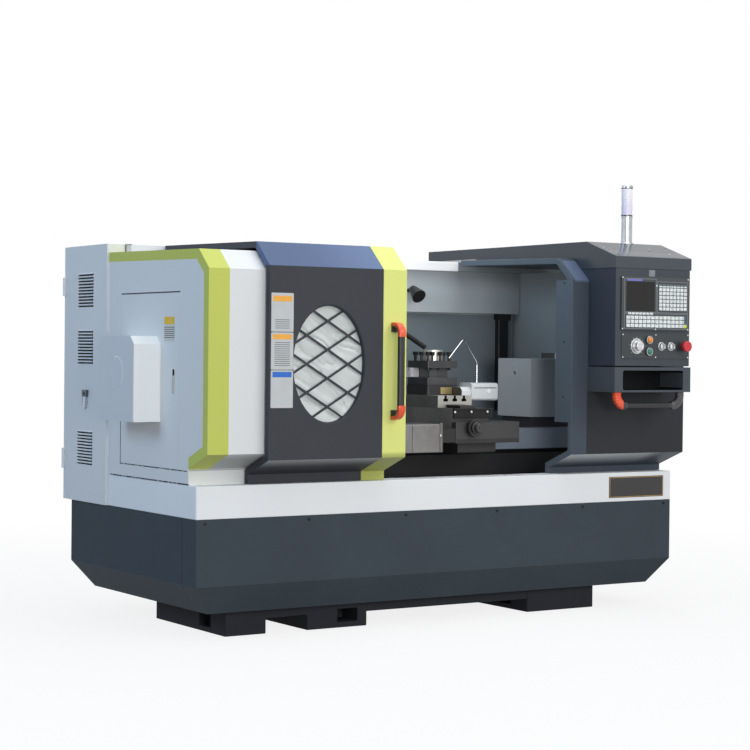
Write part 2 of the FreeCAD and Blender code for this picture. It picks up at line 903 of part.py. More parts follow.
def build_window():
    y1 = front_y + door_skin
    pane = oval(window_rx + pane_lap - 0.5, window_rz + pane_lap - 0.5, y1 - pane_t, y1)
    pieces["window_pane"] = pane
    bars = []
    length = 3 * window_rz
    count = int(window_rz / bar_pitch) + 2
    lean = math.degrees(math.atan(bar_slope))
    y0 = y1 - pane_t - bar_t
    for sign in (1, -1):
        for i in range(-count, count):
            bar = block(
                -length / 2, length / 2, y0, y0 + bar_t, -bar_w / 2, bar_w / 2)
            bar.rotate(V(0, 0, 0), V(0, 1, 0), sign * lean)
            bar.translate(V(window_x, 0, window_z + (i + 0.5) * bar_pitch))
            bars.append(bar)
    grid = bars[0].multiFuse(bars[1:])
    field = oval(window_rx, window_rz, y0 - 1, y0 + bar_t + 1)
    pieces["window_lattice"] = grid.common(field).removeSplitter()


def bow(length, reach, corner, thick):
    """Handle outline in a plane: two legs, two slanted corners and the grip."""
    outer = [
        (0, 0), (0, reach - corner), (corner, reach), (length - corner, reach),
        (length, reach - corner), (length, 0),
    ]
    inner = offset_path(outer, thick)
    return outer, inner


def build_left_handle():
    length = handle_z1 - handle_z0
    outer, inner = bow(length, handle_reach, handle_corner, handle_t)
    inner[0] = (inner[0][0], 0)
    inner[-1] = (inner[-1][0], 0)
    outline = [(front_y - r, handle_z0 + s) for s, r in outer + inner[::-1]]
    x0 = handle_x - handle_w / 2
    bar = along_x(outline, x0, x0 + handle_w)
    feet = []
    for z in (handle_z0 - 8, handle_z1 - handle_t - 8):
        feet.append(block(x0 - 3, x0 + handle_w + 3, front_y - 8, front_y, z, z + handle_t + 16))
    handle = join(bar, *feet)
    pieces["door_handle"] = handle
    pieces["door_handle_caps"] = corner_caps(x0)


def corner_caps(x0):
    """Coloured caps laid over the outer corners of the door's handle."""
    length = handle_z1 - handle_z0
    leg_end = handle_reach - cap_leg + 10
    run = [
        (0, leg_end), (0, handle_reach - handle_corner), (handle_corner, handle_reach),
        (cap_leg, handle_reach)]
    outline = run + offset_path(run, -cap_skin)[::-1]
    lower = [(front_y - r, handle_z0 + s) for s, r in outline]
    upper = [(front_y - r, handle_z0 + length - s) for s, r in outline]
    x1 = x0 + handle_w
    caps = [along_x(outline, x0 - cap_skin, x1 + cap_skin) for outline in (lower, upper)]
    return Part.makeCompound(caps)


# ---- right door --------------------------------------------------------------------------------
def build_right_door():
    path = right_profile()
    door = band(path, door_skin, right_door_x0, right_door_end)
    front = path[2][0]
    side = block(
        right_door_x0, right_door_x0 + frame_t, front + door_skin, frame_back_y,
        frame_z0, path[3][1])
    pieces["door_right"] = join(door, side)


def build_control_box():
    path = right_profile()
    face = path[2][0]
    outline = [
        (ctrl_front_y, ctrl_z0), (ctrl_front_y, ctrl_z1), (slope_y(path, ctrl_z1), ctrl_z1),
        path[3], (face, ctrl_z0),
    ]
    box = along_x(outline, ctrl_x0, ctrl_x1)
    pieces["control_box"] = softened(box, 4, V(0, 0, 1), lambda c: c.y < ctrl_front_y + 1)
    back = path[-1]
    hood = [
        (ctrl_front_y, ctrl_z1), (ctrl_front_y, hood_lip_z), (hood_ridge_y, hood_top),
        (hood_back_y, hood_top), (hood_back_y, hood_floor_z), (back[0], hood_floor_z),
        back, path[4], (slope_y(path, ctrl_z1), ctrl_z1),
    ]
    pieces["cable_hood"] = along_x(hood, hood_x0, hood_x1)


def build_pocket():
    face = right_profile()[2][0]
    box = block(ctrl_x0, pocket_x1, ctrl_front_y, face, pocket_z0, pocket_z1)
    box = softened(box, 4, V(0, 0, 1), lambda c: c.y < ctrl_front_y + 1)
    hole = block(
        ctrl_x0 + pocket_wall, pocket_x1 - pocket_wall, ctrl_front_y - 1,
        ctrl_front_y + pocket_depth,
        pocket_hole_z0, pocket_hole_z1)
    hole = softened(hole, pocket_r, V(0, 1, 0))
    pieces["pocket_box"] = box.cut(hole)


def key_grid(x0, x1, z0, z1, columns, rows):
    """Raised key fields of a membrane keypad."""
    keys = []
    step_x = (x1 - x0) / columns
    step_z = (z1 - z0) / rows
    y1 = ctrl_front_y - unit_t
    for i in range(columns):
        for j in range(rows):
            keys.append(block(
                x0 + i * step_x + key_gap / 2, x0 + (i + 1) * step_x - key_gap / 2,
                y1 - key_t, y1, z0 + j * step_z + key_gap / 2, z0 + (j + 1) * step_z - key_gap / 2))
    return keys


def build_unit():
    """Numeric control unit: bezel, sunk screen and membrane keys in one sealed module."""
    y0 = ctrl_front_y - unit_t
    unit = block(unit_x0, unit_x1, y0, ctrl_front_y, unit_z0, unit_z1)
    unit = softened(unit, unit_r, V(0, 1, 0))
    screen = block(screen_x0, screen_x1, y0 - 1, y0 + screen_recess, screen_z0, screen_z1)
    unit = unit.cut(screen)
    right_x = unit_x1 - 12
    mdi = key_grid(screen_x1 + 23, right_x, screen_z0 + 4, screen_z1 - 7, 8, 7)
    soft = key_grid(screen_x0 + 8, screen_x1 - 8, screen_z0 - 16, screen_z0 - 4, 7, 1)
    machine = key_grid(unit_x0 + 24, unit_x1 - 11, unit_z0 + 11, screen_z0 - 18, 15, 3)
    pieces["cnc_unit"] = unit.multiFuse(mdi + soft + machine)


def build_button_plate():
    """Plate with sockets for the turned shafts and collars that guide what is pressed."""
    face = ctrl_front_y - plate_t
    plate = block(plate_x0, plate_x1, face, ctrl_front_y, plate_z0, plate_z1)
    plate = softened(plate, 4, V(0, 1, 0))
    pushed = [(push_x, orange_z, push_r), (push_x, green_z, push_r)]
    pushed.append((estop_x, estop_z, estop_neck_r))
    rings = []
    holes = []
    for x, z, radius in pushed:
        foot = V(x, face - push_bezel_t, z)
        rings.append(sided(radius + collar_wall, push_bezel_t, foot, V(0, 1, 0)))
        holes.append(sided(radius + SLIDE, push_bezel_t, foot, V(0, 1, 0)))
    for x in (knob_x,) + switch_xs:
        holes.append(rod_y(shaft_r + FIT, face - 1, ctrl_front_y + 1, x, knob_z))
    pieces["button_plate"] = join(plate, *rings).cut(holes)


def build_controls():
    face = ctrl_front_y - plate_t
    end = ctrl_front_y - SLIDE
    front = face - knob_t
    knob = join(
        sided(knob_r, knob_t / 3 - SLIDE, V(knob_x, face - knob_t / 3, knob_z), V(0, 1, 0)),
        sided(knob_r - 5, knob_t - SLIDE, V(knob_x, front, knob_z), V(0, 1, 0)),
        rod_y(shaft_r, face - 1, end, knob_x, knob_z),
        block(knob_x - 2, knob_x + 2, front - 2, front + 2, knob_z, knob_z + knob_r - 8))
    pieces["selector_knob"] = knob
    rear = face - push_travel
    back = V(0, 1, 0)
    for name, z in (("button_orange", orange_z), ("button_green", green_z)):
        front = face - push_bezel_t - push_travel
        pieces[name] = sided(push_r, rear - SLIDE - front, V(push_x, front, z), back)
    for name, x in zip(("key_switch_left", "key_switch_right"), switch_xs):
        body = sided(switch_r, 12 - SLIDE, V(x, face - 12, knob_z), V(0, 1, 0), 16)
        shaft = rod_y(shaft_r, face - 1, end, x, knob_z)
        grip = block(
            x - 4, x + 4, face - knob_t, face - 11, knob_z - switch_r + 3, knob_z + switch_r - 3)
        pieces[name] = join(body, shaft, grip)
    y0 = face - estop_reach
    neck_l = face - estop_travel - SLIDE - y0 - 1
    neck = sided(estop_neck_r, neck_l, V(estop_x, y0 + 1, estop_z), back)
    head = sided(estop_r, estop_head_t, V(estop_x, y0, estop_z), back, 24)
    pieces["estop_button"] = join(neck, head)


def build_panel_handle():
    """Pull handle that hangs under the pocket box."""
    outer, inner = bow(bow_x1 - bow_x0, bow_drop, handle_corner, bow_t)
    inner[0] = (inner[0][0], 0)
    inner[-1] = (inner[-1][0], 0)
    outline = [(bow_x0 + s, pocket_z0 - r) for s, r in outer + inner[::-1]]
    y0 = ctrl_front_y + 6
    pieces["panel_handle"] = along_y(outline, y0, y0 + handle_w)


def build_signal_lamp():
    """Sealed lamp: foot, tube and cap."""
    up = V(0, 0, 1)
    tube_h = tower_top - tower_cap_h - tower_tube_z
    foot = sided(tower_r, tower_tube_z - hood_top, V(tower_x, tower_y, hood_top), up)
    tube = sided(tower_r - 2, tube_h, V(tower_x, tower_y, tower_tube_z), up)
    cap = sided(tower_r, tower_cap_h, V(tower_x, tower_y, tower_top - tower_cap_h), up)
    pieces["signal_lamp"] = join(foot, tube, cap)


# ---- carriage ----------------------------------------------------------------------------------
def rib_outline(x, spread):
    """Dovetail rib on the saddle; spread widens it into the slide's groove."""
    half = rib_w / 2 + spread
    low = bridge_top - 1
    return [
        (x - half + rib_lean, low), (x + half - rib_lean, low),
        (x + half, bridge_top + rib_h + spread), (x - half, bridge_top + rib_h + spread),
    ]


def build_saddle():
    bed_front = axis_y - bed_half_width
    wing_low = way_top + SLIDE
    apron = block(saddle_x0, saddle_x1, saddle_y0, bed_front - apron_gap, apron_z0, wing_top)
    wing = block(saddle_x0, saddle_x1, bed_front - apron_gap, saddle_y1, wing_low, wing_top)
    bridge = block(saddle_x0, bridge_x1, bridge_y0, saddle_y1, wing_top, bridge_top)
    centre = (saddle_x0 + slide_x1) / 2
    rib = along_y(rib_outline(centre, 0), bridge_y0 + wiper_t, saddle_y1)
    saddle = join(apron, wing, bridge, rib)
    saddle = softened(saddle, 4, V(0, 0, 1), lambda c: c.y < bridge_y0 + 1)
    screw = rod_y(cap_r / 2, saddle_y0 - 1, saddle_y0 + cap_depth, centre, cap_z())
    pieces["saddle"] = saddle.cut(screw)
    nut = block(nut_x0, nut_x1, saddle_y0 + 40, bed_front - 3 * apron_gap, nut_z0, apron_z0)
    pieces["nut_housing"] = softened(nut, 10, V(1, 0, 0), lambda c: c.z < nut_z0 + 1)


def cap_z():
    return apron_z0 + (wing_top - apron_z0) * 0.74


def build_screw_cap():
    """Round end cap of the cross-feed screw: rim, raised middle and spigot."""
    centre = (saddle_x0 + slide_x1) / 2
    y0 = saddle_y0 - cap_reach
    back = V(0, 1, 0)
    rim = sided(cap_r, 12, V(centre, y0 + 4, cap_z()), back, 24)
    middle = sided(cap_r / 2, 5, V(centre, y0, cap_z()), back)
    spigot_l = saddle_y0 + cap_depth - 2 - y0 - 15
    spigot = sided(cap_r / 2 - 1, spigot_l, V(centre, y0 + 15, cap_z()), back)
    pieces["screw_cap"] = join(rim, middle, spigot)


def build_sleeve():
    """Stainless cover over the feed screw, carried by the saddle's left side."""
    y1 = saddle_y0 + sleeve_depth
    outer = block(sleeve_x0, sleeve_x1, saddle_y0, y1, sleeve_z0, sleeve_z1)
    outer = softened(outer, 3, V(1, 0, 0))
    inner = block(
        sleeve_x0 - 1, sleeve_x1 + 1, saddle_y0 + box_skin, y1 - box_skin,
        sleeve_z0 + box_skin, sleeve_z1 - box_skin)
    lug = block(
        sleeve_x1 - 15, saddle_x0, saddle_y0 + box_skin, saddle_y0 + 20,
        apron_z0 + 4, sleeve_z1 - 20)
    back = block(
        sleeve_x1 - 15, saddle_x0, y1 - 20, y1 - box_skin, apron_z0 + 4, sleeve_z1 - 20)
    pieces["screw_cover"] = join(outer.cut(inner), lug, back)


def build_cross_slide():
    centre = (saddle_x0 + slide_x1) / 2
    slide = block(
        saddle_x0, slide_x1, slide_y0, slide_y1, bridge_top + SLIDE, slide_top)
    groove = along_y(rib_outline(centre, SLIDE), slide_y0 - 1, slide_y1 + 1)
    cuts = [groove]
    for i in range(tslot_count):
        x = centre + (i - (tslot_count - 1) / 2) * tslot_pitch
        neck_z = slide_top - tslot_neck_h
        neck = block(
            x - tslot_neck_w / 2, x + tslot_neck_w / 2, slide_y0 - 1, slide_y1 + 1,
            neck_z, slide_top + 1)
        head = block(
            x - tslot_head_w / 2, x + tslot_head_w / 2, slide_y0 - 1, slide_y1 + 1,
            neck_z - tslot_head_h, neck_z)
        cuts += [neck, head]
    pieces["cross_slide"] = slide.cut(cuts)


def build_wiper():
    """Way wiper on the front end of the saddle's bridge, with its clamping strip."""
    y1 = bridge_y0
    strip = block(
        saddle_x0 + 2, bridge_x1 + 12, y1 - wiper_t, y1, bridge_top - wiper_h, bridge_top + 1)
    lip = block(
        saddle_x0 + 2, bridge_x1 + 12, y1 - wiper_t - 4, y1, bridge_top - 7, bridge_top + 1)
    pieces["way_wiper"] = join(strip, lip)


def post_centre():
    return (saddle_x0 + slide_x1) / 2, post_y0 + post_side / 2


def square(side, z0, z1, corner=0):
    x, y = post_centre()
    half = side / 2
    solid = block(x - half, x + half, y - half, y + half, z0, z1)
    if corner:
        solid = softened(solid, corner, V(0, 0, 1))
    return solid


def build_tool_post():
    x, y = post_centre()
    base = square(post_side + 10, slide_top, post_base_top, 12)
    rear = y + post_side / 2
    wires = block(
        x - wire_box_w / 2, x + wire_box_w / 2, rear, rear + wire_box_l, slide_top,
        post_base_top - 3)
    pieces["post_base"] = join(base, wires)
    low = square(post_side, post_base_top + SLIDE, post_slot_z0, 4)
    core = square(post_side - 2 * post_slot_depth, post_slot_z0, post_slot_z1)
    pieces["post_head"] = join(low, core)
    high = square(post_side, post_slot_z1, post_top, 4)
    cap = sided(post_cap_r, post_cap_top - post_top, V(x, y, post_top), V(0, 0, 1), 28)
    holes = []
    clamps = []
    for px, py in clamp_places():
        holes.append(stud(clamp_r + clamp_clear, post_slot_z1 - 1, post_top + 1, px, py))
        clamps.append(clamp_bolt(px, py))
    pieces["post_top"] = join(high, cap).cut(holes)
    pieces["clamp_bolts"] = Part.makeCompound(clamps)


def clamp_places():
    """Three bolts along each side of the tool post."""
    x, y = post_centre()
    reach = post_side / 2 - clamp_inset
    places = []
    for quarter in range(4):
        turn = math.radians(90 * quarter)
        for i in (-1, 0, 1):
            along = i * clamp_pitch + (clamp_pitch / 4 if i else 0) * -0.5
            places.append((
                x + along * math.cos(turn) - reach * math.sin(turn),
                y + along * math.sin(turn) + reach * math.cos(turn)))
    return places


def stud(radius, z0, z1, x, y):
    """Upright shank of a clamp bolt, or its hole."""
    return sided(radius, z1 - z0, V(x, y, z0), V(0, 0, 1), 6)


def clamp_bolt(x, y):
    shank = stud(clamp_r, post_slot_z1 - 10, clamp_top - clamp_head_h, x, y)
    half = clamp_head / 2
    head = block(x - half, x + half, y - half, y + half, clamp_top - clamp_head_h, clamp_top)
    return join(shank, head)


def build_switch_box():
    """Cast limit-switch box beside the slide, on a block over the slide's top."""
    box = block(
        switch_box_x0, switch_box_x1, switch_box_y0, switch_box_y1, switch_box_z0, switch_box_z1)
    box = softened(box, 12, V(1, 0, 0))
    box = box.makeChamfer(4, edges_near_x(box, switch_box_x1))
    foot_block = block(
        switch_foot_x0, switch_box_x0, switch_box_y0 + 8, post_y0 - 10,
        slide_top, switch_box_z1 - 18)
    foot_block = foot_block.makeChamfer(
        14, edges_along(
            foot_block, V(1, 0, 0), lambda c: c.z > slide_top + 1 and c.y < post_y0 - 11))
    pieces["switch_box"] = join(box, foot_block)


def edges_near_x(shape, x):
    return [edge for edge in shape.Edges if edge.BoundBox.XMin > x - 0.01]


def build_coolant_lines():
    """Rigid nozzle pipe from the switch box, and the black hose over the tool post."""
    x, y = post_centre()
    low = V(x, y, slide_top)
    pipe = [low + V(*step) for step in pipe_route]
    pieces["coolant_pipe"] = bent_tube(pipe, pipe_r, 8 * pipe_r, 6)
    hose = [low + V(*step) for step in hose_route]
    pieces["coolant_hose"] = bent_tube(hose, hose_r, 9 * hose_r, 10)


# ---- tailstock ---------------------------------------------------------------------------------
def build_tailstock():
    y0 = axis_y - tail_half
    y1 = axis_y + tail_half
    inset = tail_foot_inset
    foot_part = block(
        tail_x0 + inset, tail_x1 - inset, y0 + inset, y1 - inset, way_top + SLIDE, tail_foot_top)
    body = block(tail_x0, tail_x1, y0, y1, tail_foot_top, tail_top)
    body = softened(body, 5, V(1, 0, 0), lambda c: c.z > tail_top - 1)
    body = join(body, foot_part)
    bore = rod_x(
        quill_r + FIT, tail_x0 - 1, tail_x0 + quill_l + quill_end_gap, axis_y, axis_z)
    shaft_hole = rod_x(wheel_shaft_r + FIT, tail_x0 + quill_l, tail_x1 + 1, axis_y, axis_z)
    pieces["tailstock_body"] = body.cut([bore, shaft_hole])
    quill = rod_x(quill_r, tail_x0, tail_x0 + quill_l, axis_y, axis_z)
    taper = flared(quill_taper_r, quill_taper_r - 3, quill_taper_l, 24)
    taper.Placement = FreeCAD.Placement(
        V(tail_x0, axis_y, axis_z), FreeCAD.Rotation(V(0, 0, 1), V(1, 0, 0)))
    pieces["tailstock_quill"] = quill.cut(taper)


def build_handwheel():
    """Flat-sided rim, three spokes, hub, grip and shaft."""
    x = tail_x1 + wheel_gap
    half = wheel_rim_r / 2
    middle_r = wheel_r - wheel_rim_r
    along = V(1, 0, 0)
    centre = V(x, axis_y, axis_z)
    edge = centre - along * wheel_rim_r
    shaft = rod_x(wheel_shaft_r, tail_x0 + quill_l + 2 * quill_end_gap, x, axis_y, axis_z)
    hub = sided(wheel_hub_r, x + 14 - tail_x1 - SLIDE, V(tail_x1 + SLIDE, axis_y, axis_z), along)
    rim = sided(wheel_r, 2 * wheel_rim_r, edge, along, 32)
    rim = rim.cut(sided(wheel_r - 2 * wheel_rim_r, 3 * wheel_rim_r, edge - along, along, 32))
    spokes = []
    for turn in jaw_turns():
        spoke = block(x - half, x + half, axis_y - 8, axis_y + 8, axis_z, axis_z + middle_r)
        spoke.rotate(centre, along, turn)
        spokes.append(spoke)
    grip = sided(wheel_rim_r, wheel_grip_l - half, centre + V(half, 0, middle_r), along, 12)
    pieces["tailstock_handwheel"] = join(shaft, hub, rim, grip, *spokes)


def build_all():
    build_feet()
    build_base()
    build_tray()
    build_bed()
    build_headstock()
    build_drive()
    build_spindle()
    build_end_cover()
    build_access_panel()
    build_spindle_box()
    build_cabinet()
    build_cabinet_door()
    build_cabinet_latch()
    build_rear_guard()
    build_end_wall()
    build_riser()
    build_work_lamp()
    build_left_door()
    build_window()
    build_left_handle()
    build_right_door()
    build_control_box()
    build_pocket()
    build_unit()
    build_button_plate()
    build_controls()
    build_panel_handle()
    build_signal_lamp()
    build_saddle()
    build_screw_cap()
    build_sleeve()
    build_cross_slide()
    build_wiper()
    build_tool_post()
    build_switch_box()
    build_coolant_lines()
    build_tailstock()
    build_handwheel()


def save_all():
    """Move the origin to the bottom centre of the whole machine and write each piece."""
    middle_x = (base_length - box_depth) / 2
    front = ctrl_front_y - plate_t - estop_reach
    middle_y = (front + cabinet_y1) / 2
    os.makedirs("parts", exist_ok=True)
    for name, shape in pieces.items():
        shape.translate(V(-middle_x, -middle_y, 0))
        shape.exportStep("parts/%s.step" % name)
    print("origin at", middle_x, middle_y, "pieces", len(pieces))


build_all()
save_all()
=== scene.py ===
import math

import bmesh
import bpy
from mathutils import Matrix, Vector, noise


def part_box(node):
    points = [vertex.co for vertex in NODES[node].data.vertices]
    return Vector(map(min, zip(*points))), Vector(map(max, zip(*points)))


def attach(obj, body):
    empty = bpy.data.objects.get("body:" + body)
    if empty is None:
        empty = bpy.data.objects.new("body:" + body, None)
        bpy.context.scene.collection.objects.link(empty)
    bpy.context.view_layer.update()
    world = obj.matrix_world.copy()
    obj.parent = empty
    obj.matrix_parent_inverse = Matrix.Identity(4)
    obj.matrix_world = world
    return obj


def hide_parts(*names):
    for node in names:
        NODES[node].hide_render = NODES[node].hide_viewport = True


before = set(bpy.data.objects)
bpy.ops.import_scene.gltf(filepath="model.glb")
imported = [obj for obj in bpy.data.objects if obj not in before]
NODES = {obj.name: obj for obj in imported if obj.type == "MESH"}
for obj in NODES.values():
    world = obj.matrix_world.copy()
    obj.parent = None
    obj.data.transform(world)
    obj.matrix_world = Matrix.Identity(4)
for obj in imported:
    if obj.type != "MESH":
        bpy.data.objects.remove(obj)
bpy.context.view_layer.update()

# The machine's own corner (left, front, floor) in the row frame, in metres. Places and sizes below
# are in millimetres from that corner, with X to the right, Y to the back and Z up.
CORNER = Vector((-1.141, -0.4605, 0.0))
LEFT, RIGHT = Vector((-1, 0, 0)), Vector((1, 0, 0))
FRONT, UP = Vector((0, -1, 0)), Vector((0, 0, 1))
X, Z = 0, 2          # axes along which a zone can fade


def at(x, y, z):
    """Point of the row frame from millimetres in the machine's frame."""
    return Vector((x, y, z)) / 1000 + CORNER


def node_box(name):
    """Corners of a CAD node in the machine's millimetres."""
    low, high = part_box(name)
    return (Vector(low) - CORNER) * 1000, (Vector(high) - CORNER) * 1000


def node_round(name):
    """Corners, middle and radius of a round CAD node."""
    low, high = node_box(name)
    return low, high, (low + high) / 2, (high.x - low.x) / 2


def lin(r, g, b):
    """Linear colour from 0-255 screen values."""
    return tuple(((c / 255) / 12.92 if c < 10 else ((c / 255 + 0.055) / 1.055) ** 2.4)
                 for c in (r, g, b)) + (1.0,)


# ---- camera ----
def make_camera():
    yaw, pitch, roll = (math.radians(a) for a in (32.967, -0.727, 0.582))
    data = bpy.data.cameras.new("camera")
    data.sensor_width = 36
    data.lens = 92.18
    data.clip_start = 0.1
    data.clip_end = 200
    camera = bpy.data.objects.new("camera", data)
    camera.matrix_world = (
        Matrix.Translation(at(-3418.5, -6517.2, 1126.4)) @ Matrix.Rotation(-yaw, 4, "Z")
        @ Matrix.Rotation(math.pi / 2 + pitch, 4, "X") @ Matrix.Rotation(roll, 4, "Z"))
    bpy.context.scene.collection.objects.link(camera)
    bpy.context.scene.camera = camera


# ---- shader nodes ----
def put(tree, kind, inputs=None, **props):
    """New node with its properties and inputs set."""
    node = tree.nodes.new(kind)
    for key, value in props.items():
        setattr(node, key, value)
    for key, value in (inputs or {}).items():
        feed(tree, value, node.inputs[key])
    return node


def feed(tree, value, socket):
    """Links an output to a socket, or sets a plain value on it."""
    if isinstance(value, bpy.types.NodeSocket):
        tree.links.new(value, socket)
    else:
        socket.default_value = value


def calc(tree, operation, *values):
    node = put(tree, "ShaderNodeMath", dict(enumerate(values)), operation=operation)
    return node.outputs[0]


def spread(tree, value, from_min, from_max, to_min=0.0, to_max=1.0, kind="LINEAR"):
    """Value carried over from one range to another, held at its ends."""
    return put(tree, "ShaderNodeMapRange", {
        "Value": value, "From Min": from_min, "From Max": from_max, "To Min": to_min,
        "To Max": to_max}, interpolation_type=kind).outputs[0]


def noise_of(tree, point, scale, detail, rough=0.5):
    return put(tree, "ShaderNodeTexNoise", {
        "Vector": point, "Scale": scale, "Detail": detail, "Roughness": rough}).outputs["Fac"]


def between(tree, value, low, high):
    above = calc(tree, "GREATER_THAN", value, low)
    below = calc(tree, "LESS_THAN", value, high)
    return calc(tree, "MULTIPLY", above, below)


def blend_colour(tree, mask, first, second):
    node = put(tree, "ShaderNodeMix", {0: mask, 6: first, 7: second}, data_type="RGBA")
    return node.outputs[2]


class Place:
    """Coordinates of the surface in the row frame at rest, for zones of paint."""

    def __init__(self, tree):
        self.tree = tree
        self.point = put(tree, "ShaderNodeTexCoord").outputs["Object"]
        split = put(tree, "ShaderNodeSeparateXYZ", {0: self.point})
        self.axes = self.x, self.y, self.z = split.outputs[:3]


# ---- masks: functions of a Place that give 1 inside a zone and 0 outside it ----
def box(x0=None, y0=None, z0=None, x1=None, y1=None, z1=None):
    """Zone of a box; a side that is left out stays open."""
    def mask(place):
        found = None
        for value, corner, low, high in zip(place.axes, CORNER, (x0, y0, z0), (x1, y1, z1)):
            if low is None and high is None:
                continue
            start = -99 if low is None else low / 1000 + corner
            end = 99 if high is None else high / 1000 + corner
            part = between(place.tree, value, start, end)
            found = part if found is None else calc(place.tree, "MULTIPLY", found, part)
        return found
    return mask


def fade(axis, start, end):
    """Soft zone: 0 at the start and 1 at the end along an axis."""
    def mask(place):
        edges = (millimetres / 1000 + CORNER[axis] for millimetres in (start, end))
        return spread(place.tree, place.axes[axis], *edges, kind="SMOOTHSTEP")
    return mask


def joined(operation, masks):
    def mask(place):
        found = masks[0](place)
        for other in masks[1:]:
            found = calc(place.tree, operation, found, other(place))
        return found
    return mask


def both(*masks):
    return joined("MULTIPLY", masks)


def either(*masks):
    return joined("MAXIMUM", masks)


def edge_strip(start, end, width):
    """Zone within a width of the (y, z) line that runs from start to end."""
    def mask(place):
        tree = place.tree
        y0, z0 = start[0] / 1000 + CORNER.y, start[1] / 1000
        run = Vector((end[0] - start[0], end[1] - start[1])).normalized()
        along_z = calc(tree, "MULTIPLY_ADD", place.z, -run.x, z0 * run.x - y0 * run.y)
        across = calc(tree, "ADD", calc(tree, "MULTIPLY", place.y, run.y), along_z)
        return calc(tree, "LESS_THAN", across, width / 1000)
    return mask


def rules(z0, z1, pitch, share):
    """Plain ruled lines between two heights."""
    def mask(place):
        step = calc(place.tree, "FRACT", calc(place.tree, "DIVIDE", place.z, pitch / 1000))
        line = calc(place.tree, "LESS_THAN", step, share)
        return calc(place.tree, "MULTIPLY", line, box(z0=z0, z1=z1)(place))
    return mask


def lime_border():
    """The cover's lime border: a strip along the front, both chamfers and the roof."""
    strip, border_x1, tray_z = 40, 90, 661
    front_y, roof_y, back_y = -88, 9, 793
    lower = both(edge_strip((66, 664), (front_y, 727), strip), box(y1=67.5, z1=760))
    return both(
        either(box(y1=front_y + strip), edge_strip((front_y, 1433), (roof_y, 1521), strip),
               edge_strip((roof_y, 1510), (back_y, 1524), strip), lower),
        box(z0=tray_z, x1=border_x1))


def low_painted_reflection(drop):
    """Painted reflection of the white tray on a door's lower chamfer, paler paint fading downwards.
    """
    front, open_end = (-124, 244) if drop == 0 else (-77, 1764.5)
    return both(box(x0=open_end, y0=front, y1=112, z1=726.5 - drop), fade(X, 2300, 2180),
                fade(Z, 664 - drop * 3, 738 - drop * 3))


def base_seam(place):
    """Welded corner joint on the base's left end, which turns forward low down."""
    tree = place.tree
    bend_z, slope, half = 0.211, -0.575, 0.0014
    below = calc(tree, "MAXIMUM", calc(tree, "MULTIPLY_ADD", place.z, -1.0, bend_z), 0.0)
    line = calc(tree, "SUBTRACT", calc(tree, "MULTIPLY_ADD", below, slope, place.y),
                113 / 1000 + CORNER.y)
    near = calc(tree, "LESS_THAN", calc(tree, "ABSOLUTE", line), half)
    return calc(tree, "MULTIPLY", near, box(z0=99, x1=60, z1=470)(place))


def ring_highlight(place):
    """Painted highlight along the round knock-out groove on the spindle box, on the side away from
    the front.
    """
    tree = place.tree
    dy = calc(tree, "SUBTRACT", place.y, 470 / 1000 + CORNER.y)
    dz = calc(tree, "SUBTRACT", place.z, 1.030)
    far = calc(tree, "SQRT", calc(tree, "ADD", calc(tree, "MULTIPLY", dy, dy),
                                  calc(tree, "MULTIPLY", dz, dz)))
    ring = between(tree, far, 0.0615, 0.0655)
    return calc(tree, "MULTIPLY", ring, box(z0=985, x1=-116, y1=490)(place))


def gap_shade(place):
    """Painted shade in the gaps round the access panel and over the tray, on the left end."""
    upright = either(box(y0=146, z0=1346, x1=2, y1=672, z1=1350.5),
                     box(y0=670, z0=650, x1=2, y1=675, z1=830))
    level = either(box(y0=78, z0=651, x1=2, y1=676, z1=655.5),
                   box(y0=52, z0=600, x1=2, y1=769, z1=605.5))
    # Noise breaks the painted shade of the level gaps into dashes.
    dust = noise_of(place.tree, place.point, 55.0, 2.0)
    uneven = spread(place.tree, dust, 0.38, 0.46, 0.35)
    level = calc(place.tree, "MULTIPLY", level(place), uneven)
    return calc(place.tree, "MAXIMUM", upright(place), level)


def print_marks(place):
    """Small blots of print on the keys, with no signs in them."""
    marks = noise_of(place.tree, place.point, 170.0, 1.0)
    dark = calc(place.tree, "GREATER_THAN", marks, 0.6)
    return calc(place.tree, "MULTIPLY", dark, box(y1=KEY_FACE)(place))


# ---- finishes ----
FINISH = {}


def relief(tree, height, height_um, below=None):
    inputs = {"Height": height, "Strength": 1.0, "Distance": height_um / 1e6}
    if below is not None:
        inputs["Normal"] = below
    return put(tree, "ShaderNodeBump", inputs).outputs[0]


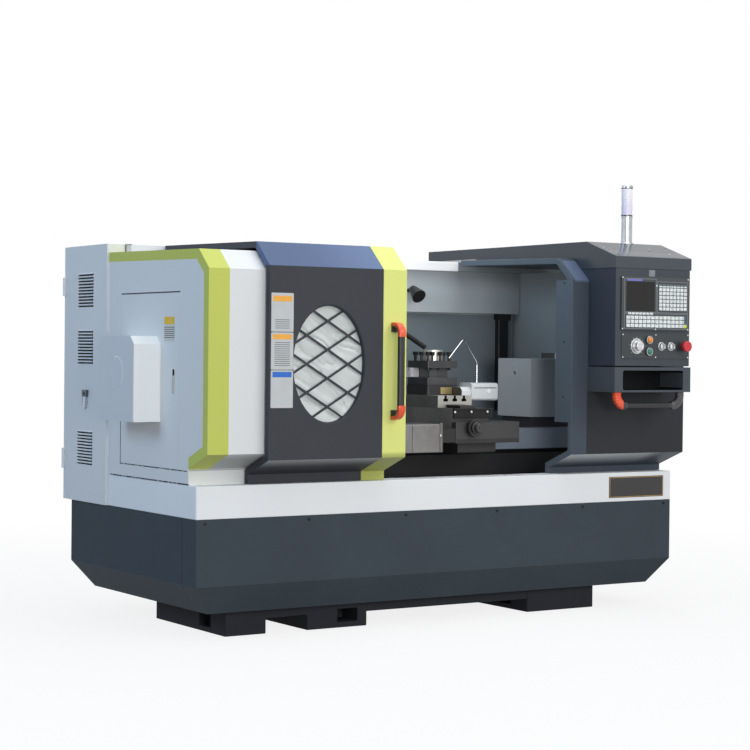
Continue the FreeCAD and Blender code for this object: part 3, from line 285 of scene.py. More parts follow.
def surface(name, colour, rough, metal=0.0, blotch=0.05, patch=2.5, grain=700.0, depth=40,
            stretch=(1, 1, 1), spec=0.5, coat=0.0, zones=(), dust=None, peel=0.0):
    """Procedural finish: colour that varies in patches, uneven gloss and a fine relief.

    Colours are 0-255 screen values. A zone is a colour and its mask, with a gloss and a metal of
    its own where they're given. dust is a colour that settles in soft patches. stretch draws the
    grain out, for brushed and ground faces. peel adds the soft waves of sprayed paint. depth and
    peel are in micrometres.
    """
    material = bpy.data.materials.new(name)
    material.use_nodes = True
    tree = material.node_tree
    shader = tree.nodes["Principled BSDF"]
    place = Place(tree)
    patches = noise_of(tree, place.point, patch, 4.0)
    scaled = put(tree, "ShaderNodeVectorMath", {0: place.point, 1: stretch}, operation="MULTIPLY")
    fine = noise_of(tree, scaled.outputs[0], grain, 3.0, 0.6)
    level = spread(tree, patches, 0.3, 0.7, 1 - blotch, 1 + blotch)
    fine_level = spread(tree, fine, 0.3, 0.7, 1 - blotch * 0.7, 1 + blotch * 0.7)
    tone = calc(tree, "MULTIPLY", level, fine_level)
    base, rough_now, metal_now = lin(*colour), rough, metal
    for zone_colour, mask_of, *other in zones:
        zone_rough, zone_metal = (other + [None, None])[:2]
        mask = mask_of(place)
        base = blend_colour(tree, mask, base, lin(*zone_colour))
        if zone_rough is not None:
            rough_now = calc(tree, "MULTIPLY_ADD", mask, zone_rough - rough, rough_now)
        if zone_metal is not None:
            metal_now = calc(tree, "MULTIPLY_ADD", mask, zone_metal - metal, metal_now)
    if dust:
        settled = noise_of(tree, place.point, patch * 5, 6.0, 0.65)
        amount = spread(tree, settled, 0.52, 0.8, 0.0, 0.22)
        base = blend_colour(tree, amount, base, lin(*dust))
    scale = put(tree, "ShaderNodeVectorMath", operation="SCALE")
    feed(tree, base if isinstance(base, bpy.types.NodeSocket) else base[:3], scale.inputs[0])
    feed(tree, tone, scale.inputs["Scale"])
    rough_vary = 0.06
    vary = calc(tree, "MULTIPLY_ADD", patches, rough_vary, -rough_vary / 2)
    normal = relief(tree, fine, depth)
    if peel:
        normal = relief(tree, noise_of(tree, place.point, 34.0, 1.0), peel, normal)
    for key, value in (("Base Color", scale.outputs[0]), ("Metallic", metal_now),
                       ("Roughness", calc(tree, "ADD", vary, rough_now)),
                       ("Specular IOR Level", spec), ("Coat Weight", coat),
                       ("Coat Roughness", 0.25), ("Normal", normal)):
        feed(tree, value, shader.inputs[key])
    FINISH[name] = material
    return material


WHITE = (228, 229, 229)
LIME = (200, 207, 102)
# Blue of the left door's header: a band of paint and a painted reflection of the sky, paler to the
# right.
HEADER_BAND_AND_REFLECTION = (88, 104, 136)
HEADER_REFLECTION_PALE = (106, 124, 158)
BLACK = (24, 24, 26)
ORANGE = (238, 84, 44)
# Colour of the painted shade in the gaps on the left end.
GAP_SHADE = (52, 60, 72)
# Colour of the painted reflection on the doors' lower chamfers.
PAINTED_REFLECTION = (236, 237, 238)
RIGHT_DROP = 11       # the right door hangs this much lower than the left
HEADER_FOLD = 1450.5  # height of the fold under the left door's header, painted blue as a band of paint and as a painted reflection of the sky
KEY_FACE = -267.2     # what stands further forward on the control unit is a key
SLOT_END = 1263       # right end of the screw cover, where the slide's own faces start


def make_white_paints():
    sprayed = dict(spec=0.12, peel=40)
    white = dict(blotch=0.018, patch=1.6, **sprayed)
    surface("white_paint", WHITE, 0.42, **white)
    # The spindle box's white is painted brighter than the other whites as painted light on its
    # front; its left face is painted darker as painted shade, and the ring is a painted highlight.
    surface("spindle_box_paint", (250, 252, 250), 0.42, **white, zones=[
        ((216, 219, 222), box(x1=-116)), ((252, 252, 252), ring_highlight, 0.4)])
    # Beyond the right door's edge the beam is grey: partly a grey strip of its own and partly
    # painted shade under the right door's roof.
    surface("beam_paint", (248, 249, 250), 0.42, **white, zones=[
        ((140, 147, 151), box(x0=1761), 0.45)])
    # On the cover, the lower chamfer is painted darker downwards as painted shade, the lime border
    # is paint, and the gaps on the left end carry painted shade.
    surface("cover_paint", WHITE, 0.42, **white, zones=[
        ((184, 186, 185), both(fade(Z, 728, 700), box(3, -90, 655, None, 110, 728))),
        (LIME, lime_border()), (GAP_SHADE, gap_shade, 0.5)])
    # The tray's white is painted brighter than the cover's, as painted light where light falls off
    # low down, and its inside is painted dark as painted shade.
    surface("tray_paint", (242, 244, 245), 0.42, **white, zones=[
        ((52, 54, 56), box(x0=121, y0=111, x1=2279, y1=809, z1=599), 0.5)])
    # The door's lime edge is painted paler than the cover's lime as painted light, and darker on
    # its lower chamfer, fading downwards, as painted shade.
    surface("lime_paint", (230, 235, 138), 0.4, blotch=0.025, patch=1.8, **sprayed, zones=[
        ((178, 182, 104), fade(Z, 727, 705), 0.42)])
    # On the guard, the lower wall is painted darker as painted shade, the panel is darker towards
    # the top, there is a paler strip at x 2125 to 2140, and what shows through the gap above the
    # tailstock is painted dark as painted shade.
    surface("guard_paint", (176, 184, 188), 0.45, patch=1.5, **sprayed, zones=[
        ((120, 131, 137), box(885, 700, 560, 2125, None, 1300)),
        ((146, 152, 156), fade(Z, 1400, 1490)),
        ((154, 161, 165), box(x0=2125, x1=2140)), ((60, 64, 68), box(x0=2140), 0.5)])
    # The tailstock's base below its box is painted dark as painted shadow under the box.
    surface("tail_paint", (180, 186, 189), 0.42, patch=3, **sprayed, zones=[
        ((64, 64, 70), box(z1=834), 0.5)])
    # The ways are ground steel; the bed below its rails is painted near black as painted shade.
    surface("bed_paint", (134, 144, 158), 0.42, blotch=0.08, patch=4, spec=0.4, zones=[
        ((150, 150, 150), box(z0=789), 0.3, 0.8), ((30, 31, 33), box(z1=696), 0.6)])
    surface("bracket_paint", (196, 198, 212), 0.42, blotch=0.02, patch=6, zones=[
        ((120, 122, 130), box(x1=77)), ((176, 180, 178), box(z0=1557))])


def make_dark_paints():
    dark = dict(spec=0.1, peel=50)
    # On the left door, the header is painted blue as a band and as a painted reflection of the sky,
    # paler to the right; the lower chamfer carries a painted reflection of the tray.
    header = box(z0=HEADER_FOLD, y1=-18)
    surface("charcoal_paint", (66, 68, 73), 0.45, patch=2.2, **dark, zones=[
        (HEADER_BAND_AND_REFLECTION, header, 0.42),
        (HEADER_REFLECTION_PALE, both(fade(X, 420, 780), header), 0.42),
        (PAINTED_REFLECTION, low_painted_reflection(0), 0.42)])
    # On the right door: the top chamfer is painted blue-grey as a painted reflection of the sky,
    # the left face painted lighter as painted light, the lower chamfer carries a painted
    # reflection, and the front below the pocket a painted shadow.
    surface("slate_paint", (74, 82, 92), 0.42, blotch=0.06, patch=2.0, **dark, zones=[
        ((98, 110, 134), box(x0=1775, z0=1431, x1=1862, y1=15), 0.4),
        ((102, 113, 122), box(x1=1764)), (PAINTED_REFLECTION, low_painted_reflection(RIGHT_DROP)),
        ((54, 56, 59), box(x0=1846, y0=-79, y1=-77, z1=965), 0.48)])
    surface("hood_paint", (64, 70, 78), 0.26, patch=2.0, spec=0.42)
    # The control box's left face is painted darker and bluer as painted shade.
    surface("box_paint", (74, 80, 85), 0.42, patch=3.0, **dark, zones=[
        ((62, 68, 78), box(x1=1851.5))])
    # The pocket's inside is painted near black as painted shade.
    surface("pocket_paint", (80, 86, 91), 0.42, patch=3.0, **dark, zones=[
        ((24, 27, 30), box(1894, -255, 968, 2234, None, 1054), 0.5)])
    surface("base_paint", (70, 78, 84), 0.45, blotch=0.07, patch=1.8, spec=0.02, peel=50,
            zones=[((34, 38, 44), base_seam, 0.5)], dust=(84, 92, 99))
    surface("foot_paint", (46, 47, 52), 0.6, blotch=0.08, patch=4, spec=0.05)


def make_metals():
    # The saddle's left face is painted lighter as painted light, and the nut housing below the
    # apron is painted dark as painted shade under the saddle.
    surface("cast_grey", (60, 60, 60), 0.5, 0.35, blotch=0.14, patch=9, grain=420,
            depth=120, dust=(50, 48, 44), zones=[
                ((122, 120, 118), box(y0=100, z0=790, x1=SLOT_END)),
                ((34, 34, 34), box(x0=1264, y1=300, z1=757), 0.55, 0.2)])
    # Beside the saddle, the screw cover's end is painted dark as painted shade.
    surface("ground_steel", (124, 123, 121), 0.34, 0.85, blotch=0.12, patch=14, grain=900,
            stretch=(0.06, 1, 1), depth=30, zones=[
                ((30, 30, 31), box(x0=1193, x1=1262, y1=90, z1=840), 0.5, 0.3)])
    # On the cross slide, the left face is painted darker as painted shade, and the insides of the
    # T-slots near black as painted shade.
    surface("slide_steel", (176, 174, 168), 0.42, 0.6, blotch=0.15, patch=12, grain=800,
            stretch=(1, 0.05, 1), zones=[
                ((112, 111, 108), box(x1=SLOT_END)),
                ((22, 22, 22), box(1285, 206.5, 905, 1415, None, 936), 0.6, 0.2)])
    surface("post_steel", (74, 75, 77), 0.36, 0.7, blotch=0.15, patch=16,
            stretch=(0.1, 0.1, 1), zones=[((226, 225, 218), box(z0=1086), 0.3, 0.6)])
    surface("dark_steel", (34, 34, 35), 0.38, 0.55, blotch=0.12, patch=20, depth=30)
    surface("post_iron", (46, 46, 47), 0.45, 0.4, blotch=0.12, patch=14, depth=80)
    surface("bright_steel", (206, 207, 210), 0.16, 1.0, blotch=0.03, patch=8, grain=1200,
            depth=8)
    # The latch is painted darker and bluer on its top and its back part as painted shade.
    latch = node_box("cabinet_latch")[1]
    surface("latch_zinc", (204, 208, 214), 0.4, 0.2, blotch=0.06, patch=30, grain=1200,
            depth=20, zones=[
                ((112, 124, 136), box(y0=latch.y - 13), 0.45, 0.1),
                ((96, 104, 112), box(z0=latch.z - 30), 0.45, 0.1)])
    surface("blank_steel", (232, 230, 236), 0.4, 0.3, blotch=0.06, patch=60, grain=900,
            stretch=(1, 0.05, 1), depth=10)
    surface("chrome", (178, 180, 184), 0.2, 1.0, blotch=0.12, patch=12, grain=90,
            stretch=(1, 1, 0.02), depth=3)
    surface("satin_steel", (196, 198, 200), 0.3, 0.85, patch=20, grain=1200, depth=10)
    surface("aluminium", (222, 226, 228), 0.34, 0.3, blotch=0.04, patch=10, grain=1500,
            depth=20, zones=[
                ((70, 70, 66), box(1399, None, 916, 1400.6, None, 979), 0.5, 0.2)])
    surface("knob_aluminium", (205, 206, 208), 0.28, 0.8, blotch=0.04, patch=30, grain=1500,
            depth=20)
    surface("gold_rim", (176, 146, 84), 0.3, 0.8, patch=20, depth=10)
    surface("brass_plate", (186, 170, 118), 0.34, 0.7, blotch=0.12, patch=60, zones=[
        ((120, 106, 70), rules(945, 967, 4.4, 0.3), 0.4, 0.5)])


def make_plastics():
    moulded = dict(blotch=0.1, patch=12, grain=1800, depth=30)
    glossy = dict(grain=1500, depth=10, coat=0.3)
    surface("black_plastic", BLACK, 0.42, **moulded)
    surface("handle_plastic", BLACK, 0.42, **moulded, zones=[
        ((74, 72, 76), box(x0=2170), 0.3), (ORANGE, box(x1=1906), 0.36)])
    surface("rubber", (20, 20, 21), 0.62, blotch=0.12, patch=14, grain=1400, depth=60,
            spec=0.3)
    surface("orange_plastic", ORANGE, 0.36, patch=18, grain=1500, depth=20, coat=0.2)
    surface("amber_plastic", (240, 140, 30), 0.3, patch=40, **glossy)
    surface("red_plastic", (206, 40, 56), 0.34, patch=30, **glossy)
    surface("green_plastic", (16, 120, 92), 0.3, patch=40, **glossy)
    surface("plug_white", (246, 247, 247), 0.35, blotch=0.02, patch=60, grain=1500,
            depth=10)
    surface("screen_glass", (30, 29, 28), 0.16, blotch=0.03, patch=20, depth=2, spec=0.3)
    film = surface("pane", (214, 219, 217), 0.36, blotch=0.03, patch=7, grain=300,
                   depth=30, coat=0.3)
    shader = film.node_tree.nodes["Principled BSDF"]
    shader.inputs["Transmission Weight"].default_value = 0.06
    surface("lamp", (250, 246, 250), 0.3, blotch=0.02, patch=10, depth=4, zones=[
        ((228, 220, 242), fade(Z, 1850, 1720))])


def make_plate_finishes():
    """Control unit, button plate, and bare notice plates with plain headers and ruled lines."""
    surface("plate_steel", (52, 58, 62), 0.4, 0.2, patch=10, grain=1300, depth=10)
    surface("unit_frame", (134, 142, 146), 0.4, patch=20, grain=1500, depth=10)
    surface("panel_grey", (58, 63, 67), 0.4, blotch=0.04, patch=16, grain=1500, depth=10,
            zones=[
                ((236, 242, 240), box(y1=KEY_FACE), 0.45),
                ((168, 176, 178), print_marks, 0.45),
                ((96, 106, 112), box(2084, None, 1416, 2240, KEY_FACE, 1426), 0.45),
                ((60, 90, 96), box(2226, None, 1252, None, KEY_FACE, 1290), 0.45),
                ((206, 222, 60), box(2226, None, 1225, None, KEY_FACE, 1250), 0.45),
                ((118, 118, 196), box(1905, None, 1434, 1990, -265, 1442))])
    ink, amber, blue = (120, 122, 124), (240, 172, 66), (36, 104, 196)
    heads = [(colour, box(258, None, z0, 343, None, z1), 0.45)
             for colour, z0, z1 in ((amber, 1312, 1334), (amber, 1166, 1186), (blue, 1020, 1041))]
    gaps = either(box(z0=1193, z1=1196), box(z0=1047, z1=1050))
    surface("notice_plate", (194, 197, 198), 0.42, blotch=0.03, patch=30, zones=heads + [
        (ink, both(rules(1208, 1244, 8, 0.4), box(x0=268, x1=333)), 0.5),
        (ink, both(rules(1062, 1158, 8, 0.4), box(x0=266, x1=335)), 0.5),
        ((150, 152, 154), gaps, 0.5)])
    surface("side_label", (206, 208, 204), 0.5, blotch=0.04, patch=40, zones=[
        ((226, 186, 40), box(z0=1222)), ((84, 86, 90), rules(1166, 1214, 8, 0.45))])
    surface("nameplate", (22, 21, 20), 0.3, patch=12, depth=10, coat=0.3)
    surface("box_tag", (140, 146, 152), 0.4, 0.3, blotch=0.1, patch=60, zones=[
        ((86, 92, 100), rules(1459, 1479, 5, 0.4))])


NODE_FINISH = {
    "beam_paint": "header_beam",
    "white_paint": "cabinet access_panel cabinet_door",
    "spindle_box_paint": "spindle_box",
    "tray_paint": "chip_tray",
    "cover_paint": "end_cover",
    "lime_paint": "door_left_edge",
    "charcoal_paint": "door_left window_lattice",
    "slate_paint": "door_right",
    "hood_paint": "cable_hood",
    "box_paint": "control_box",
    "pocket_paint": "pocket_box",
    "base_paint": "base_skirt",
    "foot_paint": "foot_left foot_right",
    "guard_paint": "rear_guard end_wall headstock belt_guard drive_motor",
    "tail_paint": "tailstock_body tailstock_quill",
    "cast_grey": "saddle nut_housing",
    "ground_steel": "spindle chuck_body chuck_jaw_1 chuck_jaw_2 chuck_jaw_3 screw_cover",
    "slide_steel": "cross_slide",
    "post_steel": "post_head post_top",
    "post_iron": "post_base",
    "dark_steel": "clamp_bolts",
    "satin_steel": "key_switch_left key_switch_right",
    "latch_zinc": "cabinet_latch",
    "aluminium": "switch_box",
    "knob_aluminium": "selector_knob",
    "black_plastic": "cable_duct work_lamp screw_cap",
    "rubber": "way_wiper",
    "amber_plastic": "button_orange",
    "green_plastic": "button_green",
    "red_plastic": "estop_button",
    "bed_paint": "bed",
    "plate_steel": "button_plate",
    "panel_grey": "cnc_unit",
}


# ---- CAD nodes: finish and softened edges ----
EDGE = {
    5: "base_skirt",
    4: "chip_tray",
    3: "foot_left foot_right headstock estop_button",
    2.5: "control_box cable_hood",
    2.4: "door_left door_left_edge door_right",
    2: "spindle_box pocket_box saddle post_base tailstock_body",
    1.6: "end_cover cabinet",
    1.5: "post_head bed switch_box button_orange button_green selector_knob",
    1.2: "post_top",
    1: "header_beam",
    0.6: "screw_cover",
    0.5: "button_plate",
    0.4: "cnc_unit",
    0.3: "cabinet_door",
}
PLAIN_EDGE = 0.8
SLOTTED = ("cabinet_door",)      # faces with many holes, left in their triangles
ROUND_STEP = math.radians(31)    # faces that meet at less than this are one curve


def make_smooth_group():
    """Geometry nodes that shade faces smooth and keep edges over an angle sharp."""
    group = bpy.data.node_groups.new("smooth_by_angle", "GeometryNodeTree")
    for way in ("INPUT", "OUTPUT"):
        group.interface.new_socket("Geometry", in_out=way, socket_type="NodeSocketGeometry")
    start = put(group, "NodeGroupInput")
    angle = put(group, "GeometryNodeInputMeshEdgeAngle")
    sharp = put(group, "FunctionNodeCompare", {0: angle.outputs[0], 1: ROUND_STEP},
                data_type="FLOAT", operation="GREATER_THAN")
    faces = put(group, "GeometryNodeSetShadeSmooth", {
        "Geometry": start.outputs[0], "Shade Smooth": True}, domain="FACE")
    edges = put(group, "GeometryNodeSetShadeSmooth", {
        "Geometry": faces.outputs[0], "Selection": sharp.outputs[0], "Shade Smooth": False},
        domain="EDGE")
    put(group, "NodeGroupOutput", {0: edges.outputs[0]})
    return group


SMOOTH = make_smooth_group()


def rounded(piece, width):
    """Small rounded edges and even shading, by modifiers alone; width in millimetres."""
    if width:
        bevel = piece.modifiers.new("edge", "BEVEL")
        bevel.width = width / 1000
        bevel.segments = 2
        bevel.limit_method = "ANGLE"
        bevel.angle_limit = math.radians(32)
        bevel.use_clamp_overlap = True
    piece.modifiers.new("shade", "NODES").node_group = SMOOTH
    weigh = piece.modifiers.new("normals", "WEIGHTED_NORMAL")
    weigh.keep_sharp = True
    weigh.weight = 80


def soften(node, width, merge):
    weld = node.modifiers.new("weld", "WELD")
    weld.merge_threshold = 0.00002
    if merge:
        flat = node.modifiers.new("flat", "DECIMATE")
        flat.decimate_type = "DISSOLVE"
        flat.angle_limit = math.radians(0.4)
    rounded(node, width)


def dress_nodes():
    for finish, names in NODE_FINISH.items():
        for name in names.split():
            NODES[name].data.materials.clear()
            NODES[name].data.materials.append(FINISH[finish])
    widths = {name: width for width, names in EDGE.items() for name in names.split()}
    for name, node in NODES.items():
        soften(node, widths.get(name, PLAIN_EDGE), name not in SLOTTED)


# ---- mesh building for the detail pieces ----
def squared(share, flat):
    """Rounds a flat tube's section like a soft rectangle; a round tube stays round."""
    return math.copysign(abs(share) ** 0.55, share) if flat else share


def turns(steps):
    """Angles of a full turn in equal steps."""
    return [2 * math.pi * i / steps for i in range(steps)]


class Form:
    """A mesh under construction, in the machine's millimetres."""

    def __init__(self):
        self.mesh = bmesh.new()

    def ring(self, points):
        return [self.mesh.verts.new(at(*point)) for point in points]

    def skin(self, rings):
        """Quads between closed rings of equal count."""
        count = len(rings[0])
        for low, high in zip(rings, rings[1:]):
            for i in range(count):
                j = (i + 1) % count
                self.mesh.faces.new((low[i], low[j], high[j], high[i]))

    def fan(self, tip, loop):
        for i, vertex in enumerate(loop):
            self.mesh.faces.new((tip, vertex, loop[(i + 1) % len(loop)]))

    def turned(self, outline, foot, axis, steps=32):
        """Piece turned about an axis from a foot, from (radius, height) points."""
        axis = axis.normalized()
        side = axis.orthogonal().normalized()
        other = axis.cross(side)
        rings = []
        for radius, height in outline:
            centre = Vector(foot) + axis * height
            rings.append(self.ring([centre] if radius < 1e-6 else [
                centre + side * (radius * math.cos(turn)) + other * (radius * math.sin(turn))
                for turn in turns(steps)]))
        for low, high in zip(rings, rings[1:]):
            if len(low) == 1:
                self.fan(low[0], high)
            elif len(high) == 1:
                self.fan(high[0], low)
            else:
                self.skin([low, high])
        return self

    def slab(self, corners, thickness):
        """Flat plate on a closed outline, thickened along a vector."""
        low = self.ring(corners)
        high = self.ring([Vector(c) + Vector(thickness) for c in corners])
        self.mesh.faces.new(low)
        self.mesh.faces.new(list(reversed(high)))
        self.skin([low, high])
        return self

    def block(self, low, high):
        (x0, y0, z0), (x1, y1, z1) = low, high
        return self.slab(
            [(x0, y0, z0), (x1, y0, z0), (x1, y0, z1), (x0, y0, z1)], (0, y1 - y0, 0))

    def border(self, left, right, foot, top, bar, front, back):
        """Thin frame of four bars round an upright field."""
        for x0, z0, x1, z1 in ((left, foot, right, foot + bar), (left, top - bar, right, top),
                               (left, foot + bar, left + bar, top - bar),
                               (right - bar, foot + bar, right, top - bar)):
            self.block((x0, front, z0), (x1, back, z1))
        return self

    def sweep(self, route, radius, steps=16, flat=None, widths=None):
        """Round tube along a smooth list of points.

        flat is a vector across a plane route, with the tube's half width along it; widths scales
        the tube at each point.
        """
        rings = []
        side = Vector(flat[0]) if flat else (route[1] - route[0]).orthogonal().normalized()
        for i, point in enumerate(route):
            before = route[max(i - 1, 0)]
            after = route[min(i + 1, len(route) - 1)]
            along = (after - before).normalized()
            side = (side - along * side.dot(along)).normalized()
            other = along.cross(side)
            scale = widths[i] if widths else 1.0
            half = (flat[1] if flat else radius) * scale
            rings.append(self.ring([
                point + side * (half * squared(math.cos(turn), flat))
                + other * (radius * scale * squared(math.sin(turn), flat))
                for turn in turns(steps)]))
        self.skin(rings)
        self.mesh.faces.new(rings[0])
        self.mesh.faces.new(list(reversed(rings[-1])))
        return self

    def piece(self, name, finish, body, width=0.0, slot=None, stands_for=()):
        """Closes the mesh and puts it in the scene on a body."""
        bmesh.ops.recalc_face_normals(self.mesh, faces=self.mesh.faces)
        data = bpy.data.meshes.new(name)
        self.mesh.to_mesh(data)
        self.mesh.free()
        data.materials.append(FINISH[finish])
        piece = bpy.data.objects.new(name, data)
        bpy.context.scene.collection.objects.link(piece)
        rounded(piece, width)
        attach(piece, body)
        if stands_for:
            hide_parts(*stands_for)


def oblong(x0, x1, z0, z1, y, corner, steps=5):
    """Outline of a plate with rounded corners in the plane of one y."""
    corner = min(corner, (x1 - x0) / 2, (z1 - z0) / 2)
    points = []
    for cx, cz, start in ((x1 - corner, z1 - corner, 0), (x0 + corner, z1 - corner, 90),
                          (x0 + corner, z0 + corner, 180), (x1 - corner, z0 + corner, 270)):
        for i in range(steps + 1):
            turn = math.radians(start + 90 * i / steps)
            points.append((cx + corner * math.cos(turn), y, cz + corner * math.sin(turn)))
    return points


def sideways(points, x):
    """A front-plane outline turned to lie in the plane of one x, with its x read as y."""
    return [(x, px, pz) for px, _, pz in points]


def filleted(points, bend, steps=9):
    """Smooth route through straight runs joined by tangent arcs."""
    points = [Vector(point) for point in points]
    route = [points[0]]
    for before, corner, after in zip(points, points[1:], points[2:]):
        into = (corner - before).normalized()
        out = (after - corner).normalized()
        half = into.angle(out) / 2
        centre = corner + (out - into).normalized() * (bend / math.cos(half))
        first = corner - into * (bend * math.tan(half)) - centre
        axis = into.cross(out).normalized()
        for i in range(steps + 1):
            route.append(centre + Matrix.Rotation(2 * half * i / steps, 3, axis) @ first)
    route.append(points[-1])
    return route


def in_steps(route, step):
    """The same route with points added so that none are further apart than a step."""
    points = [route[0]]
    for before, after in zip(route, route[1:]):
        count = max(1, round((after - before).length / step))
        points += [before.lerp(after, (i + 1) / count) for i in range(count)]
    return points


def plate(name, finish, body, field, front, thick, corner, width=0.2):
    """Flat plate with rounded corners on a front face; its field is x0, x1, z0, z1."""
    Form().slab(oblong(*field, front, corner), (0, -thick, 0)).piece(name, finish, body, width)


def screw_heads(name, places, axis, radius, finish, body, socket=True):
    """Round screw heads with a six-sided socket or a plain crown."""
    form = Form()
    high = radius * 0.55
    outline = [(radius, -0.4), (radius, high * 0.45), (radius * 0.82, high * 0.9),
               (radius * 0.5, high)]
    outline += [(radius * 0.46, high * 0.3), (0, high * 0.25)] if socket else [(0, high * 1.05)]
    for place in places:
        form.turned(outline, place, axis, 18)
    form.piece(name, finish, body)


# ---- details of the left end ----
def build_left_end():
    Form().slab(sideways(oblong(194, 280, 1154, 1251, 0, 3), -0.3), (-0.7, 0, 0)).piece(
        "side_notice", "side_label", "access_panel")
    Form().slab(sideways(oblong(196, 208, 952, 1022, 0, 6), 1.4), (-0.8, 0, 0)).piece(
        "panel_catch", "satin_steel", "access_panel", 0.3)
    hinges = Form()
    hinge_y, pin_r = 1199, 6.5
    for z0, z1 in ((1350, 1428), (604, 691)):
        hinges.turned([(0, 0), (pin_r, 0), (pin_r, z1 - z0), (0, z1 - z0)],
                      (-16, hinge_y + 13, z0), UP, 20)
        hinges.block((-11.5, hinge_y - 12, z0 + 4), (-10.2, hinge_y + 13, z1 - 4))
    hinges.piece("cabinet_hinges", "white_paint", "machine", 0.4)
    low, high = node_box("cabinet_latch")
    y, lock_z = (low.y + high.y) / 2, high.z - 16
    lock = Form().turned([(0, -1), (9, -1), (9, 1.2), (7.6, 2), (0, 2)], (low.x, y, lock_z),
                         LEFT, 24)
    lock.block((low.x - 2.6, y - 1.2, lock_z - 5), (low.x - 1.5, y + 1.2, lock_z + 5))
    lock.piece("latch_lock", "dark_steel", "cabinet_latch")
    top, back = node_box("cabinet")[1].z, 793
    bracket = Form().block((71, back - 4, top - 34), (99, back, top + 1))
    bracket.block((71, back - 18, top - 0.5), (99, back, top + 1.5))
    bracket.piece("cabinet_bracket", "bracket_paint", "machine", 0.6)


# ---- details of the left door ----
def build_notices():
    front = node_box("door_left")[0].y
    for i, heights in enumerate(((1195, 1345), (1049, 1193), (902, 1047))):
        plate("notice_%d" % (i + 1), "notice_plate", "left_door", (251, 350, *heights),
              front + 0.2, 1.1, 4, 0.3)


def fold_depth(x, z):
    """Folds of the film, drawn diagonally across the window, in millimetres."""
    run = x * 0.84 - z * 0.54
    across = x * 0.54 + z * 0.84
    bent = across + 26 * noise.noise(Vector((x, z, 5)) / 110)
    wave = 3.4 * noise.noise(Vector((run / 210, bent / 34, 1)))
    crease = 1 - abs(noise.noise(Vector((run / 260, bent / 52, 7)))) * 5
    return wave + 3.0 * max(crease, 0) ** 2


def build_film():
    """Creased white film in the oval window, in front of the space its solid pane takes."""
    low, high = node_box("window_pane")
    middle, half = (low + high) / 2, (high - low) / 2
    rings, spokes, film_t, stand = 48, 160, 0.7, 5.0
    form = Form()
    rims = []
    for thick in (0.0, film_t):
        loops = []
        for i in range(rings + 1):
            share = i / rings
            hold = min(1.0, (1 - share) * 7)
            points = []
            for turn in turns(spokes):
                x, z = half.x * share * math.cos(turn), half.z * share * math.sin(turn)
                depth = max(0.0, stand + fold_depth(x, z) * 2.0) * hold
                points.append((middle.x + x, low.y + 0.6 + thick + depth, middle.z + z))
            loops.append(form.ring(points if i else points[:1]))
        form.fan(loops[0][0], loops[1])
        form.skin(loops[1:])
        rims.append(loops[-1])
    form.skin(rims)
    form.piece("window_film", "pane", "left_door", slot="pane", stands_for=("window_pane",))


# ---- details of the control box ----
def build_control_unit():
    """Screen glass, thin frames round the fields, and the unit's small lamp."""
    low, high = node_box("cnc_unit")
    face = low.y + 2.0
    x0, x1, z0, z1 = 1901, 2059, 1306, 1432      # the screen
    plate("screen_glass", "screen_glass", "right_door", (x0 + 1, x1 - 1, z0 + 1, z1 - 1),
          face + 2.6, 1.0, 2)
    frames = Form()
    for field in ((low.x + 14, x1 + 10, z0 - 6, high.z - 8),
                  (x1 + 14, high.x - 6, z0 - 6, high.z - 18),
                  (low.x + 14, high.x - 6, low.z + 6, z0 - 9)):
        frames.border(*field, 2, face - 0.9, face + 0.2)
    frames.piece("unit_frames", "unit_frame", "right_door", 0.2)
    Form().turned([(4.2, 0), (4.2, 1.6), (2.8, 2.6), (0, 2.8)], (2070, face, 1416), FRONT,
                  18).piece("unit_led", "aluminium", "right_door")


def build_panel_trim():
    """Screws of the control unit and the button plate, and a bare tag above them."""
    low, high = node_box("cnc_unit")
    face = low.y + 2.0
    spots = [(x, face, z) for x, z in (
        (low.x + 5, high.z - 6), (high.x - 5, high.z - 6), (low.x + 5, low.z + 5),
        ((low.x + high.x) / 2, low.z + 4), (high.x - 5, low.z + 5))]
    low, high = node_box("button_plate")
    spots += [(x, box_face(), z) for z in (low.z + 6, high.z - 6)
              for x in (low.x + 7, (low.x + high.x) / 2, high.x - 7)]
    screw_heads("panel_screws", spots, FRONT, 3.6, "satin_steel", "right_door", False)
    plate("box_tag", "box_tag", "right_door", (2032, 2066, 1456, 1482), box_face() + 3.2, 1.0, 2)


def box_face():
    """Depth of the button plate's front, where the rims of the switches stand."""
    return node_box("control_box")[0].y - 3


def build_selector():
    """Dial with a ring of ticks behind the selector, and its cap with a raised grip."""
    face = box_face()
    low, _, middle, radius = node_round("selector_knob")
    foot = Vector((middle.x, face, middle.z))
    dial = Form().turned([(27, 0), (33, 0), (33, 1.6), (31.6, 2.2), (28.4, 2.2), (27, 1.6),
                          (27, 0)], foot, FRONT, 48)
    ticks = 11
    for i in range(ticks):
        turn = math.radians(-135 + 27 * i)
        out = Vector((math.sin(turn), 0, math.cos(turn)))
        side = Vector((out.z, 0, -out.x)) * 0.9
        start = foot + Vector((0, 0.1, 0))
        dial.slab([start + out * 35 - side, start + out * 35 + side, start + out * 40 + side,
                   start + out * 40 - side], (0, -0.8, 0))
    dial.piece("selector_dial", "satin_steel", "right_door")
    cap = Form().turned(
        [(0, 0), (radius - 6, 0), (radius - 6, 1.5), (radius - 8, 3.0), (radius - 14, 3.2),
         (radius - 15, 2.0), (0, 2.0)], (middle.x, low.y + 2, middle.z), FRONT, 40)
    reach = radius - 12
    cap.block((middle.x - 3, low.y - 5.5, middle.z - reach),
              (middle.x + 3, low.y + 1, middle.z + reach))
    cap.piece("selector_cap", "knob_aluminium", "selector_knob", 0.5)


